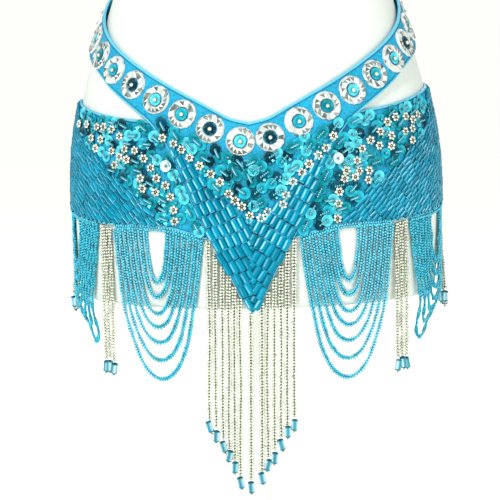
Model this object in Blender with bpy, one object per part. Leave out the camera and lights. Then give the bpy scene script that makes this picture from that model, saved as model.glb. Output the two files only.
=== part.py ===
"""A belly dance hip belt on a plain hip form.

The belt is modelled as it is sewn: a V-shaped yoke with a strap at each side, a hip panel
and a back panel on each side, ring appliques along the strap, beaded swags and strands on
narrow backing strips, and flat hooks at the centre back. It sits on a smooth closed form
with a pole and a round base.

Metres, +Z up, the front faces -Y, the wearer's width is along X. Angles run round the form
from the centre front, positive towards +X. Heights in the tables are in millimetres above
the hip line, the level where the hip panels end.
"""

import math

import bmesh
import bpy
import numpy as np
from mathutils import Vector

MILLIMETRE = 0.001

# Stand
HIP_LINE = 0.324
BASE_RADIUS = 0.140
BASE_THICKNESS = 0.012
BASE_EDGE = 0.003
POLE_RADIUS = 0.009
JOIN_GAP = 0.0003

# Form
FORM_SEGMENTS = 40
FORM_FOOT = -57.0
FORM_EDGE_RADIUS = 6.0
CAP_HEIGHT = 24.0

# Cloth, measured outwards from the form
PANEL_INNER = 0.0007
PANEL_OUTER = 0.0023
YOKE_INNER = 0.0029
YOKE_OUTER = 0.0047
TUCK = 7.0
SEAM_GAP = 0.0003

# How much higher the right panel's top edge sits than the middle of the two, at the side
TOP_EDGE_LIFT = 4.0

# Where the cut pieces end, in degrees
STRAP_SEAM = 98.0
PANEL_INNER_END = 13.0
PANEL_SEAM = 105.0
CENTRE_BACK = 180.0

# Ring appliques
RING_COUNT_PER_SIDE = 9
RING_FIRST_LEFT = 0.0080
RING_FIRST_RIGHT = 0.0185
RING_PITCH = 0.0280
RING_DROP = 17.5
RING_SEGMENTS = 14

# Fringe
STRIP_HEIGHT = 2.5
STRIP_GAP = 0.4
V_STRIP_HEIGHT = 6.0
V_STRIP_GAP = 1.0
SWAG_HALF_WIDTH = 0.0020
SWAG_INNER = 0.0007
SWAG_OUTER = 0.0037
SWAG_STEPS = 12
SPREAD_STEPS = 20
FREE_TOP = -50.0
FREE_BOTTOM = -92.0
FRONT_PULL = 1.0
SIDE_PULL = 1.5
STRAND_HALF_WIDTH = 0.0018
STRAND_INNER = 0.0010
CENTRE_LEAN = -0.9
TUBE_LENGTH = 10.0
TUBE_HALF_WIDTH = 0.0022
END_BEAD_LENGTH = 3.0
END_BEAD_HALF_WIDTH = 0.0012

# first and last angle of each backing strip
CENTRE_STRIP_ENDS = (-13.2, 13.2)
FRONT_STRIP_ENDS = (13.8, 46.5)
SIDE_STRIP_ENDS = (53.6, 95.2)
SIDE_STRAND_ENDS = (47.0, 52.6)
REAR_STRAND_ENDS = (96.6, 103.2)

# Hooks
HOOK_WIDTH = 0.016
HOOK_HEIGHT = 0.011
HOOK_THICKNESS = 0.0009
HOOK_INSET = 18.0

# height, half width and half depth of the form, in millimetres
FORM_SECTIONS = (
    (-80.0, 163.5, 118.0),
    (-30.0, 168.0, 120.2),
    (0.0, 169.2, 120.4),
    (30.0, 169.5, 119.4),
    (60.0, 168.6, 117.6),
    (90.0, 165.6, 115.8),
    (120.0, 159.8, 113.0),
    (145.0, 153.6, 110.0),
    (165.0, 147.6, 106.6),
    (182.0, 140.8, 102.6),
    (200.0, 133.6, 98.2),
    (218.0, 127.6, 94.4),
    (240.0, 123.0, 91.2),
    (265.0, 120.5, 89.4),
    (290.0, 120.0, 89.0),
)

# angle from the centre front, height of the edge
STRAP_TOP = (
    (0.0, 105.2), (6.0, 109.6), (11.2, 117.4), (17.6, 126.7), (24.5, 136.0), (32.4, 146.6),
    (43.0, 160.5), (50.5, 169.6), (57.0, 177.2), (64.0, 185.3), (71.0, 193.3), (77.0, 200.5),
    (83.0, 207.6), (92.0, 217.0), (105.0, 226.5), (120.0, 232.5), (145.0, 238.5), (180.0, 240.5),
)
YOKE_LOW = (
    (0.0, -60.0), (3.3, -46.0), (5.6, -31.5), (8.4, -15.5), (10.4, -4.5), (12.3, 5.5),
    (16.4, 31.0), (21.0, 61.5), (25.2, 86.0), (28.0, 95.5), (31.0, 104.0), (37.0, 115.0),
    (45.0, 127.2), (52.0, 137.0), (60.0, 148.5), (67.0, 155.8), (76.0, 163.5), (84.0, 171.3),
    (92.0, 179.5), (105.0, 189.5), (120.0, 196.0), (145.0, 202.5), (180.0, 204.5),
)
PANEL_TOP = (
    (28.0, 108.0), (34.5, 110.2), (43.6, 112.6), (50.0, 114.5), (59.0, 118.2), (66.0, 121.0),
    (75.0, 124.8), (90.0, 129.0), (120.0, 134.0), (150.0, 138.0), (180.0, 140.0),
)
PANEL_HEM = (
    (13.0, 5.0), (16.0, 7.5), (19.5, 10.4), (25.0, 14.2), (31.0, 15.6), (40.0, 15.6),
    (47.0, 15.6), (54.5, 16.6), (63.0, 18.4), (71.5, 20.4), (80.0, 23.0), (92.0, 27.5),
    (105.0, 32.0), (125.0, 38.0), (150.0, 43.0), (180.0, 45.0),
)

# angle of the leg nearer the centre front, angle of the other leg, height of the loop's foot
FRONT_SWAGS = (
    (25.4, 33.2, -33.0),
    (23.6, 35.3, -46.0),
    (21.8, 37.4, -61.0),
    (20.0, 39.5, -73.0),
    (18.2, 41.6, -87.0),
    (16.4, 43.6, -103.0),
    (14.7, 45.6, -120.0),
)
SIDE_SWAGS = (
    (67.4, 80.4, -28.0),
    (65.2, 82.7, -39.0),
    (63.0, 85.0, -51.0),
    (60.9, 87.3, -62.0),
    (58.8, 89.6, -72.0),
    (56.7, 91.9, -83.0),
    (54.6, 94.2, -98.0),
)

# angle of the strand, height of the top of its tube bead
CENTRE_STRANDS = (
    (-12.4, -154.0), (-10.4, -162.0), (-8.4, -171.5), (-6.7, -179.5), (-5.2, -190.0),
    (-3.6, -203.5), (-0.62, -208.0), (2.7, -199.5), (4.6, -188.0), (6.5, -181.5),
    (8.5, -170.0), (10.4, -158.5), (12.4, -153.0),
)
SIDE_STRANDS = ((47.8, -109.0), (49.8, -107.0), (51.8, -108.0))
REAR_STRANDS = ((97.6, -63.0), (99.9, -67.0), (102.2, -65.0))

# distance from the ring's centre, height above the satin, in metres
RING_PROFILE = ((0.0055, 0.0), (0.0064, 0.0018), (0.0114, 0.0021), (0.0126, 0.0))

# name: colour, roughness, metallic
FINISHES = {
    "satin": ((0.090, 0.480, 0.720), 0.42, 0.0),
    "clear_ring": ((0.780, 0.830, 0.830), 0.18, 0.0),
    "blue_beads": ((0.060, 0.430, 0.620), 0.30, 0.0),
    "silver_beads": ((0.620, 0.620, 0.560), 0.28, 0.4),
    "hook_metal": ((0.550, 0.550, 0.540), 0.30, 1.0),
    "form_shell": ((0.860, 0.880, 0.860), 0.55, 0.0),
    "stand_paint": ((0.850, 0.860, 0.850), 0.45, 0.0),
}


def clear_scene():
    """Removes what the file opened with."""
    for item in list(bpy.data.objects):
        bpy.data.objects.remove(item, do_unlink=True)


def finish_material(name):
    """One Principled material for each finish, made once."""
    material = bpy.data.materials.get(name)
    if material:
        return material
    colour, roughness, metallic = FINISHES[name]
    material = bpy.data.materials.new(name)
    material.use_nodes = True
    shader = material.node_tree.nodes["Principled BSDF"]
    shader.inputs["Base Color"].default_value = (*colour, 1.0)
    shader.inputs["Roughness"].default_value = roughness
    shader.inputs["Metallic"].default_value = metallic
    return material


def add_object(name, mesh_edit, finish):
    """Turns a bmesh into a named object with its faces pointing out."""
    bmesh.ops.recalc_face_normals(mesh_edit, faces=mesh_edit.faces)
    mesh = bpy.data.meshes.new(name)
    mesh_edit.to_mesh(mesh)
    mesh_edit.free()
    mesh.materials.append(finish_material(finish))
    mesh.shade_smooth()
    mesh.set_sharp_from_angle(angle=math.radians(40.0))
    item = bpy.data.objects.new(name, mesh)
    bpy.context.scene.collection.objects.link(item)
    return item


class SmoothTable:
    """A smooth curve through a table's rows: one column read from the first one."""

    def __init__(self, rows, column=1):
        self.places = np.array([row[0] for row in rows])
        self.values = np.array([row[column] for row in rows])
        self.slopes = np.gradient(self.values, self.places)

    def at(self, place):
        place = min(max(place, self.places[0]), self.places[-1])
        row = int(np.searchsorted(self.places, place, side="right")) - 1
        row = min(max(row, 0), len(self.places) - 2)
        span = self.places[row + 1] - self.places[row]
        part = (place - self.places[row]) / span
        start = (1 + 2 * part) * (1 - part) ** 2 * self.values[row]
        start += part * (1 - part) ** 2 * span * self.slopes[row]
        end = part * part * (3 - 2 * part) * self.values[row + 1]
        end += part * part * (part - 1) * span * self.slopes[row + 1]
        return float(start + end)


HALF_WIDTH = SmoothTable(FORM_SECTIONS, 1)
HALF_DEPTH = SmoothTable(FORM_SECTIONS, 2)
STRAP_TOP_EDGE = SmoothTable(STRAP_TOP)
YOKE_LOW_EDGE = SmoothTable(YOKE_LOW)
PANEL_TOP_EDGE = SmoothTable(PANEL_TOP)
PANEL_HEM_EDGE = SmoothTable(PANEL_HEM)


def on_form(angle, height, out, level=None):
    """A point round the form: angle in degrees, height above the hip line in millimetres.

    The section is taken at the level, which is the height itself unless the piece hangs
    straight down from there.
    """
    level = height if level is None else level
    half_width = HALF_WIDTH.at(level) * MILLIMETRE
    half_depth = HALF_DEPTH.at(level) * MILLIMETRE
    turn = math.radians(angle)
    normal = Vector((math.sin(turn) / half_width, -math.cos(turn) / half_depth, 0.0)).normalized()
    place = Vector((half_width * math.sin(turn), -half_depth * math.cos(turn), 0.0))
    place += normal * out
    place.z = HIP_LINE + height * MILLIMETRE
    return place


def metres_per_degree(angle, level):
    """How far one degree goes round the form at a level."""
    half_width = HALF_WIDTH.at(level) * MILLIMETRE
    half_depth = HALF_DEPTH.at(level) * MILLIMETRE
    turn = math.radians(angle)
    return math.radians(math.hypot(half_width * math.cos(turn), half_depth * math.sin(turn)))


def yoke_low(angle):
    return YOKE_LOW_EDGE.at(abs(angle))


def strap_top(angle):
    return STRAP_TOP_EDGE.at(abs(angle))


def panel_hem(angle):
    return PANEL_HEM_EDGE.at(abs(angle))


def panel_top(angle):
    """The hip panel's top edge, which tucks under the yoke near the centre front."""
    edge = PANEL_TOP_EDGE.at(max(abs(angle), PANEL_TOP[0][0]))
    edge += TOP_EDGE_LIFT * math.sin(math.radians(angle))
    return min(edge, yoke_low(angle) + TUCK)


def cloth_wall(name, start, end, columns, rows, low, high, layers):
    """A cut piece: a flat grid given its outline, its thickness, and then its place."""
    pattern = bmesh.new()
    bmesh.ops.create_grid(pattern, x_segments=columns, y_segments=rows, size=0.5)
    bmesh.ops.extrude_face_region(pattern, geom=pattern.faces[:])
    pattern.verts.ensure_lookup_table()
    sheet_points = (columns + 1) * (rows + 1)
    for index, point in enumerate(pattern.verts):
        angle = start + (point.co.x + 0.5) * (end - start)
        share = point.co.y + 0.5
        height = low(angle) + share * (high(angle) - low(angle))
        point.co = on_form(angle, height, layers[0] if index < sheet_points else layers[1])
    return add_object(name, pattern, "satin")


def make_cloth():
    """The yoke with its straps, the hip panels, the back panels and the strap backs."""
    yoke_layers = (YOKE_INNER, YOKE_OUTER)
    panel_layers = (PANEL_INNER, PANEL_OUTER)
    seam = SEAM_GAP / metres_per_degree(STRAP_SEAM, 200.0)
    back_gap = 0.5 * SEAM_GAP / metres_per_degree(CENTRE_BACK, 200.0)
    cloth_wall("yoke", -STRAP_SEAM, STRAP_SEAM, 72, 6, yoke_low, strap_top, yoke_layers)
    for side, sign in (("left", -1.0), ("right", 1.0)):
        cloth_wall(f"hip_panel_{side}", sign * PANEL_INNER_END, sign * PANEL_SEAM, 34, 6,
                   panel_hem, panel_top, panel_layers)
        cloth_wall(f"back_panel_{side}", sign * (PANEL_SEAM + seam),
                   sign * (CENTRE_BACK - back_gap), 22, 5, panel_hem, panel_top, panel_layers)
        cloth_wall(f"strap_back_{side}", sign * (STRAP_SEAM + seam),
                   sign * (CENTRE_BACK - back_gap), 26, 2, yoke_low, strap_top, yoke_layers)


def ring_angles(first):
    """Angles of the rings' centres, a pitch apart along the middle of the strap."""
    angles = []
    travelled = 0.0
    wanted = first
    step = 0.1
    angle = 0.0
    while len(angles) < RING_COUNT_PER_SIDE:
        middle = strap_top(angle) - RING_DROP
        rise = (strap_top(angle + step) - strap_top(angle)) * MILLIMETRE
        travelled += math.hypot(step * metres_per_degree(angle, middle), rise)
        angle += step
        if travelled >= wanted:
            angles.append(angle)
            wanted += RING_PITCH
    return angles


def make_ring(name, angle):
    """A flat cut ring laid on the satin."""
    height = strap_top(angle) - RING_DROP
    ring = bmesh.new()
    profile = [ring.verts.new((distance, 0.0, up)) for distance, up in RING_PROFILE]
    edges = [ring.edges.new((profile[i], profile[(i + 1) % len(profile)]))
             for i in range(len(profile))]
    bmesh.ops.spin(ring, geom=profile + edges, cent=(0.0, 0.0, 0.0), axis=(0.0, 0.0, 1.0),
                   angle=math.tau, steps=RING_SEGMENTS, use_merge=True)
    for point in ring.verts:
        along, up, out = point.co
        point_height = height + up / MILLIMETRE
        point_angle = angle + along / metres_per_degree(angle, point_height)
        point.co = on_form(point_angle, point_height, YOKE_OUTER + SEAM_GAP + out)
    add_object(name, ring, "clear_ring")


def make_rings():
    for side, sign, first in (("left", -1.0, RING_FIRST_LEFT), ("right", 1.0, RING_FIRST_RIGHT)):
        for number, angle in enumerate(ring_angles(first), start=1):
            make_ring(f"ring_{side}_{number}", sign * angle)


def backing_strip(mesh_edit, roots, ends, edge, size, layers):
    """A narrow strip under a cloth edge, with an open cell over each strand.

    roots are pairs of angle and half width in metres, in order of angle. Returns the four
    corners of each open cell: inner and outer at its start, outer and inner at its end.
    """
    gap, strip_height = size
    cuts = [ends[0]]
    for angle, half_width in roots:
        half_turn = half_width / metres_per_degree(angle, edge(angle))
        cuts += [angle - half_turn, angle + half_turn]
    cuts.append(ends[1])
    columns = []
    for angle in cuts:
        top = edge(angle) - gap
        columns.append([mesh_edit.verts.new(on_form(angle, height, out, level=edge(angle)))
                        for height, out in ((top, layers[0]), (top, layers[1]),
                                            (top - strip_height, layers[1]),
                                            (top - strip_height, layers[0]))])
    cells = []
    for number in range(len(columns) - 1):
        here, after = columns[number], columns[number + 1]
        is_root = number % 2 == 1
        for side in range(4):
            corners = (here[side], here[(side + 1) % 4], after[(side + 1) % 4], after[side])
            if side == 2 and is_root:
                cells.append((here[3], here[2], after[2], after[3]))
            else:
                mesh_edit.faces.new(corners)
    mesh_edit.faces.new(columns[0])
    mesh_edit.faces.new(columns[-1][::-1])
    return cells


def join_sections(mesh_edit, before, after):
    """Closes the wall between two four-cornered sections."""
    for corner in range(4):
        following = (corner + 1) % 4
        mesh_edit.faces.new((before[corner], before[following], after[following], after[corner]))


def hanging_strand(mesh_edit, cell, angle, level, bead_top, layers):
    """A strand that hangs down to the given angle and ends in a tube bead and a small bead."""
    middle = 0.5 * (layers[0] + layers[1])
    tube_foot = bead_top - TUBE_LENGTH
    sections = ((bead_top + 1.0, STRAND_HALF_WIDTH), (bead_top, TUBE_HALF_WIDTH),
                (tube_foot, TUBE_HALF_WIDTH),
                (tube_foot - END_BEAD_LENGTH, END_BEAD_HALF_WIDTH))
    before = cell
    for height, half in sections:
        half_turn = half / metres_per_degree(angle, level)
        after = [mesh_edit.verts.new(on_form(angle + turn, height, middle + out, level=level))
                 for turn, out in ((-half_turn, -half), (-half_turn, half),
                                   (half_turn, half), (half_turn, -half))]
        join_sections(mesh_edit, before, after)
        before = after
    mesh_edit.faces.new(before)


def make_strands(name, rows, ends, edge, size, layers, lean=0.0):
    """One backing strip with its silver strands, whose feet may lean by some degrees."""
    strands = bmesh.new()
    ordered = sorted(rows)
    roots = [(angle, STRAND_HALF_WIDTH) for angle, _ in ordered]
    cells = backing_strip(strands, roots, ends, edge, size, layers)
    for (angle, bead_top), cell in zip(ordered, cells):
        hanging_strand(strands, cell, angle + lean, edge(angle), bead_top, layers)
    add_object(name, strands, "silver_beads")


def catenary(start, end, foot):
    """A chain's curve between two points, as pairs along and height, through its lowest height.

    All in millimetres. The chain's size is found by halving, and the points are closer
    together near the foot.
    """
    drops = (start[1] - foot, end[1] - foot)
    span = end[0] - start[0]
    smallest, largest = 0.01, 1000.0
    for _ in range(60):
        size = 0.5 * (smallest + largest)
        reach = sum(size * math.acosh(1.0 + drop / size) for drop in drops)
        if reach > span:
            largest = size
        else:
            smallest = size
    middle = start[0] + size * math.acosh(1.0 + drops[0] / size)
    runs = [math.sqrt((drop + size) ** 2 - size * size) for drop in drops]
    points = []
    for step in range(1, SWAG_STEPS):
        share = 2.0 * step / SWAG_STEPS - 1.0
        run = math.copysign(abs(share) ** 1.5, share) * (runs[1] if share > 0 else runs[0])
        points.append((middle + size * math.asinh(run / size),
                       foot + math.sqrt(size * size + run * run) - size))
    return points


def swag_place(legs, spread, pull, along, height, out):
    """A point of a swag: on the form's face above, and drawn in between its legs below it.

    legs are the angles of the loop's ends, and spread its width in millimetres. A pull of 1
    draws the foot in to the straight line from leg to leg.
    """
    share = along / spread
    angle = legs[0] + share * (legs[1] - legs[0])
    level = panel_hem(angle)
    bent = on_form(angle, height, out, level=level)
    first = on_form(legs[0], height, out, level=panel_hem(legs[0]))
    last = on_form(legs[1], height, out, level=panel_hem(legs[1]))
    free = min(max((FREE_TOP - height) / (FREE_TOP - FREE_BOTTOM), 0.0), 1.0)
    free = pull * free * free * (3.0 - 2.0 * free)
    return bent.lerp(first.lerp(last, share), free)


def swag_loop(mesh_edit, first_cell, last_cell, legs, foot, pull, layers):
    """One bead rope from a root cell down through its foot and up to the other root cell."""
    spread = 0.0
    for step in range(SPREAD_STEPS):
        part = (step + 0.5) / SPREAD_STEPS
        angle = legs[0] + part * (legs[1] - legs[0])
        turn = abs(legs[1] - legs[0]) / SPREAD_STEPS
        spread += turn * metres_per_degree(angle, panel_hem(angle))
    spread /= MILLIMETRE
    drop = STRIP_GAP + STRIP_HEIGHT
    start = (0.0, panel_hem(legs[0]) - drop)
    end = (spread, panel_hem(legs[1]) - drop)
    points = catenary(start, end, foot)
    around = [start] + points + [end]
    half = SWAG_HALF_WIDTH / MILLIMETRE
    before = first_cell
    for number, (along, height) in enumerate(points, start=1):
        run = around[number + 1][0] - around[number - 1][0]
        rise = around[number + 1][1] - around[number - 1][1]
        length = math.hypot(run, rise)
        side = (-rise / length * half, run / length * half)
        after = []
        for sign, out in ((-1, layers[0]), (-1, layers[1]), (1, layers[1]), (1, layers[0])):
            place = swag_place(legs, spread, pull, along + sign * side[0],
                               height + sign * side[1], out)
            after.append(mesh_edit.verts.new(place))
        join_sections(mesh_edit, before, after)
        before = after
    join_sections(mesh_edit, before, [last_cell[3], last_cell[2], last_cell[1], last_cell[0]])


def make_swags(name, rows, ends, pull, sign):
    """A set of nested swags on one backing strip, on the side that the sign gives."""
    swags = bmesh.new()
    layers = (SWAG_INNER, SWAG_OUTER)
    legs = [tuple(sorted((sign * near, sign * far))) for near, far, _ in rows]
    angles = sorted(angle for pair in legs for angle in pair)
    strip_ends = sorted(sign * end for end in ends)
    roots = [(angle, SWAG_HALF_WIDTH) for angle in angles]
    cells = backing_strip(swags, roots, strip_ends, panel_hem, (STRIP_GAP, STRIP_HEIGHT), layers)
    for pair, (_, _, foot) in zip(legs, rows):
        swag_loop(swags, cells[angles.index(pair[0])], cells[angles.index(pair[1])], pair, foot,
                  pull, layers)
    add_object(name, swags, "blue_beads")


def make_fringe():
    """Every swag and strand, each set on its own backing strip."""
    hem_size = (STRIP_GAP, STRIP_HEIGHT)
    hem_layers = (STRAND_INNER, STRAND_INNER + 2.0 * STRAND_HALF_WIDTH)
    v_layers = (YOKE_INNER, YOKE_INNER + 2.0 * STRAND_HALF_WIDTH)
    make_strands("fringe_centre", CENTRE_STRANDS, CENTRE_STRIP_ENDS, yoke_low,
                 (V_STRIP_GAP, V_STRIP_HEIGHT), v_layers, CENTRE_LEAN)
    for side, sign in (("left", -1.0), ("right", 1.0)):
        make_swags(f"swags_front_{side}", FRONT_SWAGS, FRONT_STRIP_ENDS, FRONT_PULL, sign)
        make_swags(f"swags_side_{side}", SIDE_SWAGS, SIDE_STRIP_ENDS, SIDE_PULL, sign)
        for name, rows, ends in (("side", SIDE_STRANDS, SIDE_STRAND_ENDS),
                                 ("rear", REAR_STRANDS, REAR_STRAND_ENDS)):
            placed = [(sign * angle, bead_top) for angle, bead_top in rows]
            make_strands(f"strands_{name}_{side}", placed, sorted(sign * end for end in ends),
                         panel_hem, hem_size, hem_layers)


def make_hook(name, height, satin):
    """A flat metal hook plate across the closure at the centre back."""
    plate = bmesh.new()
    bmesh.ops.create_grid(plate, x_segments=4, y_segments=1, size=0.5)
    bmesh.ops.extrude_face_region(plate, geom=plate.faces[:])
    plate.verts.ensure_lookup_table()
    for index, point in enumerate(plate.verts):
        along = point.co.x * HOOK_WIDTH / metres_per_degree(CENTRE_BACK, height)
        up = point.co.y * HOOK_HEIGHT / MILLIMETRE
        out = satin + SEAM_GAP + (0.0 if index < 10 else HOOK_THICKNESS)
        point.co = on_form(CENTRE_BACK + along, height + up, out)
    add_object(name, plate, "hook_metal")


def make_hooks():
    strap_middle = 0.5 * (yoke_low(CENTRE_BACK) + strap_top(CENTRE_BACK))
    make_hook("hook_strap", strap_middle, YOKE_OUTER)
    make_hook("hook_panel_upper", panel_top(CENTRE_BACK) - HOOK_INSET, PANEL_OUTER)
    make_hook("hook_panel_lower", panel_hem(CENTRE_BACK) + HOOK_INSET, PANEL_OUTER)


def form_rings():
    """Pairs of height and inset from the form's section, from the foot to the cap."""
    rings = []
    for quarter in (0.0, 0.5, 1.0):
        turn = quarter * math.pi / 2.0
        rings.append((FORM_FOOT + FORM_EDGE_RADIUS * (1.0 - math.sin(turn)),
                      FORM_EDGE_RADIUS * (1.0 - math.cos(turn))))
    rings.reverse()
    heights = [-25.0, 5.0, 30.0, 50.0, 68.0, 86.0, 104.0, 122.0, 140.0, 160.0, 182.0, 205.0,
               230.0, 256.0]
    rings += [(height, 0.0) for height in heights]
    for quarter in (0.4, 0.75, 0.95):
        turn = quarter * math.pi / 2.0
        rings.append((heights[-1] + CAP_HEIGHT * math.sin(turn),
                      HALF_DEPTH.at(heights[-1]) * (1.0 - math.cos(turn))))
    return rings


def make_form():
    """The smooth closed form that the belt sits on."""
    form = bmesh.new()
    loops = []
    for height, inset in form_rings():
        loop = [form.verts.new(on_form(360.0 * number / FORM_SEGMENTS, height,
                                       -inset * MILLIMETRE))
                for number in range(FORM_SEGMENTS)]
        loops.append(loop)
    for below, above in zip(loops, loops[1:]):
        for number in range(FORM_SEGMENTS):
            following = (number + 1) % FORM_SEGMENTS
            form.faces.new((below[number], below[following], above[following], above[number]))
    form.faces.new(loops[0][::-1])
    form.faces.new(loops[-1])
    add_object("hip_form", form, "form_shell")


def turned(name, profile, segments, finish):
    """A closed turned piece about the centre line, from its radius and height profile."""
    piece = bmesh.new()
    points = [piece.verts.new((radius, 0.0, height)) for radius, height in profile]
    edges = [piece.edges.new(pair) for pair in zip(points, points[1:])]
    bmesh.ops.spin(piece, geom=points + edges, cent=(0.0, 0.0, 0.0), axis=(0.0, 0.0, 1.0),
                   angle=math.tau, steps=segments, use_merge=True)
    bmesh.ops.remove_doubles(piece, verts=piece.verts, dist=0.00001)
    add_object(name, piece, finish)


def make_stand():
    """The pole under the form and the round base."""
    pole_foot = BASE_THICKNESS + JOIN_GAP
    pole_top = HIP_LINE + FORM_FOOT * MILLIMETRE - JOIN_GAP
    turned("pole", ((0.0, pole_foot), (POLE_RADIUS, pole_foot), (POLE_RADIUS, pole_top),
                    (0.0, pole_top)), 20, "stand_paint")
    turned("base", ((0.0, 0.0), (BASE_RADIUS, 0.0), (BASE_RADIUS, BASE_THICKNESS - BASE_EDGE),
                    (BASE_RADIUS - BASE_EDGE, BASE_THICKNESS), (0.0, BASE_THICKNESS)), 48,
           "stand_paint")


clear_scene()
make_form()
make_stand()
make_cloth()
make_rings()
make_fringe()
make_hooks()
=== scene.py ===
import math
import random

import bmesh
import bpy
import numpy as np
from bpy.props import FloatProperty, FloatVectorProperty, PointerProperty
from mathutils import Matrix, Vector


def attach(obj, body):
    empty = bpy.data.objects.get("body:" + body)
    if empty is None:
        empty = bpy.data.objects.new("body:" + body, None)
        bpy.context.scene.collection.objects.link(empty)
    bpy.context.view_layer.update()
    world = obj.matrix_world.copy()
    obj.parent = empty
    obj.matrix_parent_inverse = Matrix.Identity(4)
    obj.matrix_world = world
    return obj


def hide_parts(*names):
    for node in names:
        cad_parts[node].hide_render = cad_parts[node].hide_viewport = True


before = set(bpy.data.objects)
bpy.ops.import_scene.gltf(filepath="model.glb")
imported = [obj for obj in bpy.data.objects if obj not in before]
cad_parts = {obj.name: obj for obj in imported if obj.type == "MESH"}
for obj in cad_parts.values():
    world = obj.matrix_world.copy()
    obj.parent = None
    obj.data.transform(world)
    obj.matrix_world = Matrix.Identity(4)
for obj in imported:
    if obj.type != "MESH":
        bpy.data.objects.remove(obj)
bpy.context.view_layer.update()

bl_info = {
    "name": "Beaded Hip Belt",
    "version": (1, 0, 0),
    "blender": (4, 5, 0),
    "location": "3D View > Sidebar > Hip Belt",
    "description": "Builds a satin hip belt with rings, sequins, bugle beads and a beaded fringe",
    "category": "Object",
}

MM = 0.001
HIP_LINE = 0.324
BODY = "root"
SIDES = (("left", -1.0), ("right", 1.0))

# cloth layers, in metres outwards from the form
PANEL_INNER = 0.0007
PANEL_OUTER = 0.0023
YOKE_INNER = 0.0029
YOKE_OUTER = 0.0047
SEAM_GAP = 0.0003
TUCK = 7.0
TOP_EDGE_LIFT = 4.0
YOKE_SEAM = 28.0
STRAP_SEAM = 98.0
PANEL_INNER_END = 13.0
PANEL_SEAM = 105.0
CENTRE_BACK = 180.0

# rings along the strap
RING_COUNT_PER_SIDE = 9
RING_FIRST = {"left": 0.0080, "right": 0.0185}
RING_PITCH = 0.0280
RING_DROP = 17.5
RING_SEGMENTS = 16

# how far out the feet of the rear strands hang
REAR_SWING = 0.0075

# angle and height of the sequin on each side painted white as a glint
GLINTS = ((-24.9, 68.7), (26.0, 72.8))

# fringe
FREE_TOP = -50.0
FREE_BOTTOM = -92.0
FRONT_PULL = 1.0
SIDE_PULL = 1.5
ROPE_OUT = 0.0024
STRAND_OUT = 0.0028
CENTRE_LEAN = -0.9

# the form and its stand
FORM_FOOT = -57.0
FORM_EDGE = 6.0
FORM_TOP = 256.0
CAP_HEIGHT = 24.0
BASE_RADIUS = 0.140
BASE_THICKNESS = 0.012
POLE_RADIUS = 0.009

# height, half width and half depth of the form, in millimetres
FORM_SECTIONS = (
    (-80.0, 163.5, 118.0), (-30.0, 168.0, 120.2), (0.0, 169.2, 120.4), (30.0, 169.5, 119.4),
    (60.0, 168.6, 117.6), (90.0, 165.6, 115.8), (120.0, 159.8, 113.0), (145.0, 153.6, 110.0),
    (165.0, 147.6, 106.6), (182.0, 140.8, 102.6), (200.0, 133.6, 98.2), (218.0, 127.6, 94.4),
    (240.0, 123.0, 91.2), (265.0, 120.5, 89.4), (290.0, 120.0, 89.0),
)

# angle from the centre front in degrees, height of the edge above the hip line in millimetres
STRAP_TOP = (
    (0.0, 105.2), (6.0, 109.6), (11.2, 117.4), (17.6, 126.7), (24.5, 136.0), (32.4, 146.6),
    (43.0, 160.5), (50.5, 169.6), (57.0, 177.2), (64.0, 185.3), (71.0, 193.3), (77.0, 200.5),
    (83.0, 207.6), (92.0, 217.0), (105.0, 226.5), (120.0, 232.5), (145.0, 238.5), (180.0, 240.5),
)
YOKE_LOW = (
    (0.0, -60.0), (3.3, -46.0), (5.6, -31.5), (8.4, -15.5), (10.4, -4.5), (12.3, 5.5),
    (16.4, 31.0), (21.0, 61.5), (25.2, 86.0), (28.0, 95.5), (31.0, 104.0), (37.0, 115.0),
    (45.0, 127.2), (52.0, 137.0), (60.0, 148.5), (67.0, 155.8), (76.0, 163.5), (84.0, 171.3),
    (92.0, 179.5), (105.0, 189.5), (120.0, 196.0), (145.0, 202.5), (180.0, 204.5),
)
PANEL_TOP = (
    (28.0, 108.0), (34.5, 110.2), (43.6, 112.6), (50.0, 114.5), (59.0, 118.2), (66.0, 121.0),
    (75.0, 124.8), (90.0, 129.0), (120.0, 134.0), (150.0, 138.0), (180.0, 140.0),
)
PANEL_HEM = (
    (13.0, 5.0), (16.0, 7.5), (19.5, 10.4), (25.0, 14.2), (31.0, 15.6), (40.0, 15.6),
    (47.0, 15.6), (54.5, 16.6), (63.0, 18.4), (71.5, 20.4), (80.0, 23.0), (92.0, 27.5),
    (105.0, 32.0), (125.0, 38.0), (150.0, 43.0), (180.0, 45.0),
)

# line between the sequins and the bugle beads on a hip panel, and on the centre of the yoke
PANEL_LINE = (
    (26.0, 14.0), (29.0, 26.0), (33.0, 40.0), (38.0, 50.0), (44.0, 59.0), (50.0, 69.0),
    (56.0, 80.5), (68.0, 98.5), (74.0, 116.0), (80.0, 140.0),
)
CENTRE_LINE = (
    (0.0, 25.0), (3.0, 30.0), (5.0, 36.0), (9.0, 46.0), (12.0, 57.0), (15.0, 66.0),
    (17.4, 73.0), (20.0, 80.0), (22.4, 85.0), (25.5, 93.0), (30.0, 104.0),
)

# angle of the leg nearer the centre front, angle of the other leg, height of the loop's foot
FRONT_SWAGS = (
    (25.4, 33.2, -33.0), (23.6, 35.3, -46.0), (21.8, 37.4, -61.0), (20.0, 39.5, -73.0),
    (18.2, 41.6, -87.0), (16.4, 43.6, -103.0), (14.7, 45.6, -120.0),
)
SIDE_SWAGS = (
    (67.4, 80.4, -28.0), (65.2, 82.7, -39.0), (63.0, 85.0, -51.0), (60.9, 87.3, -62.0),
    (58.8, 89.6, -72.0), (56.7, 91.9, -83.0), (54.6, 94.2, -98.0),
)

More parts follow.
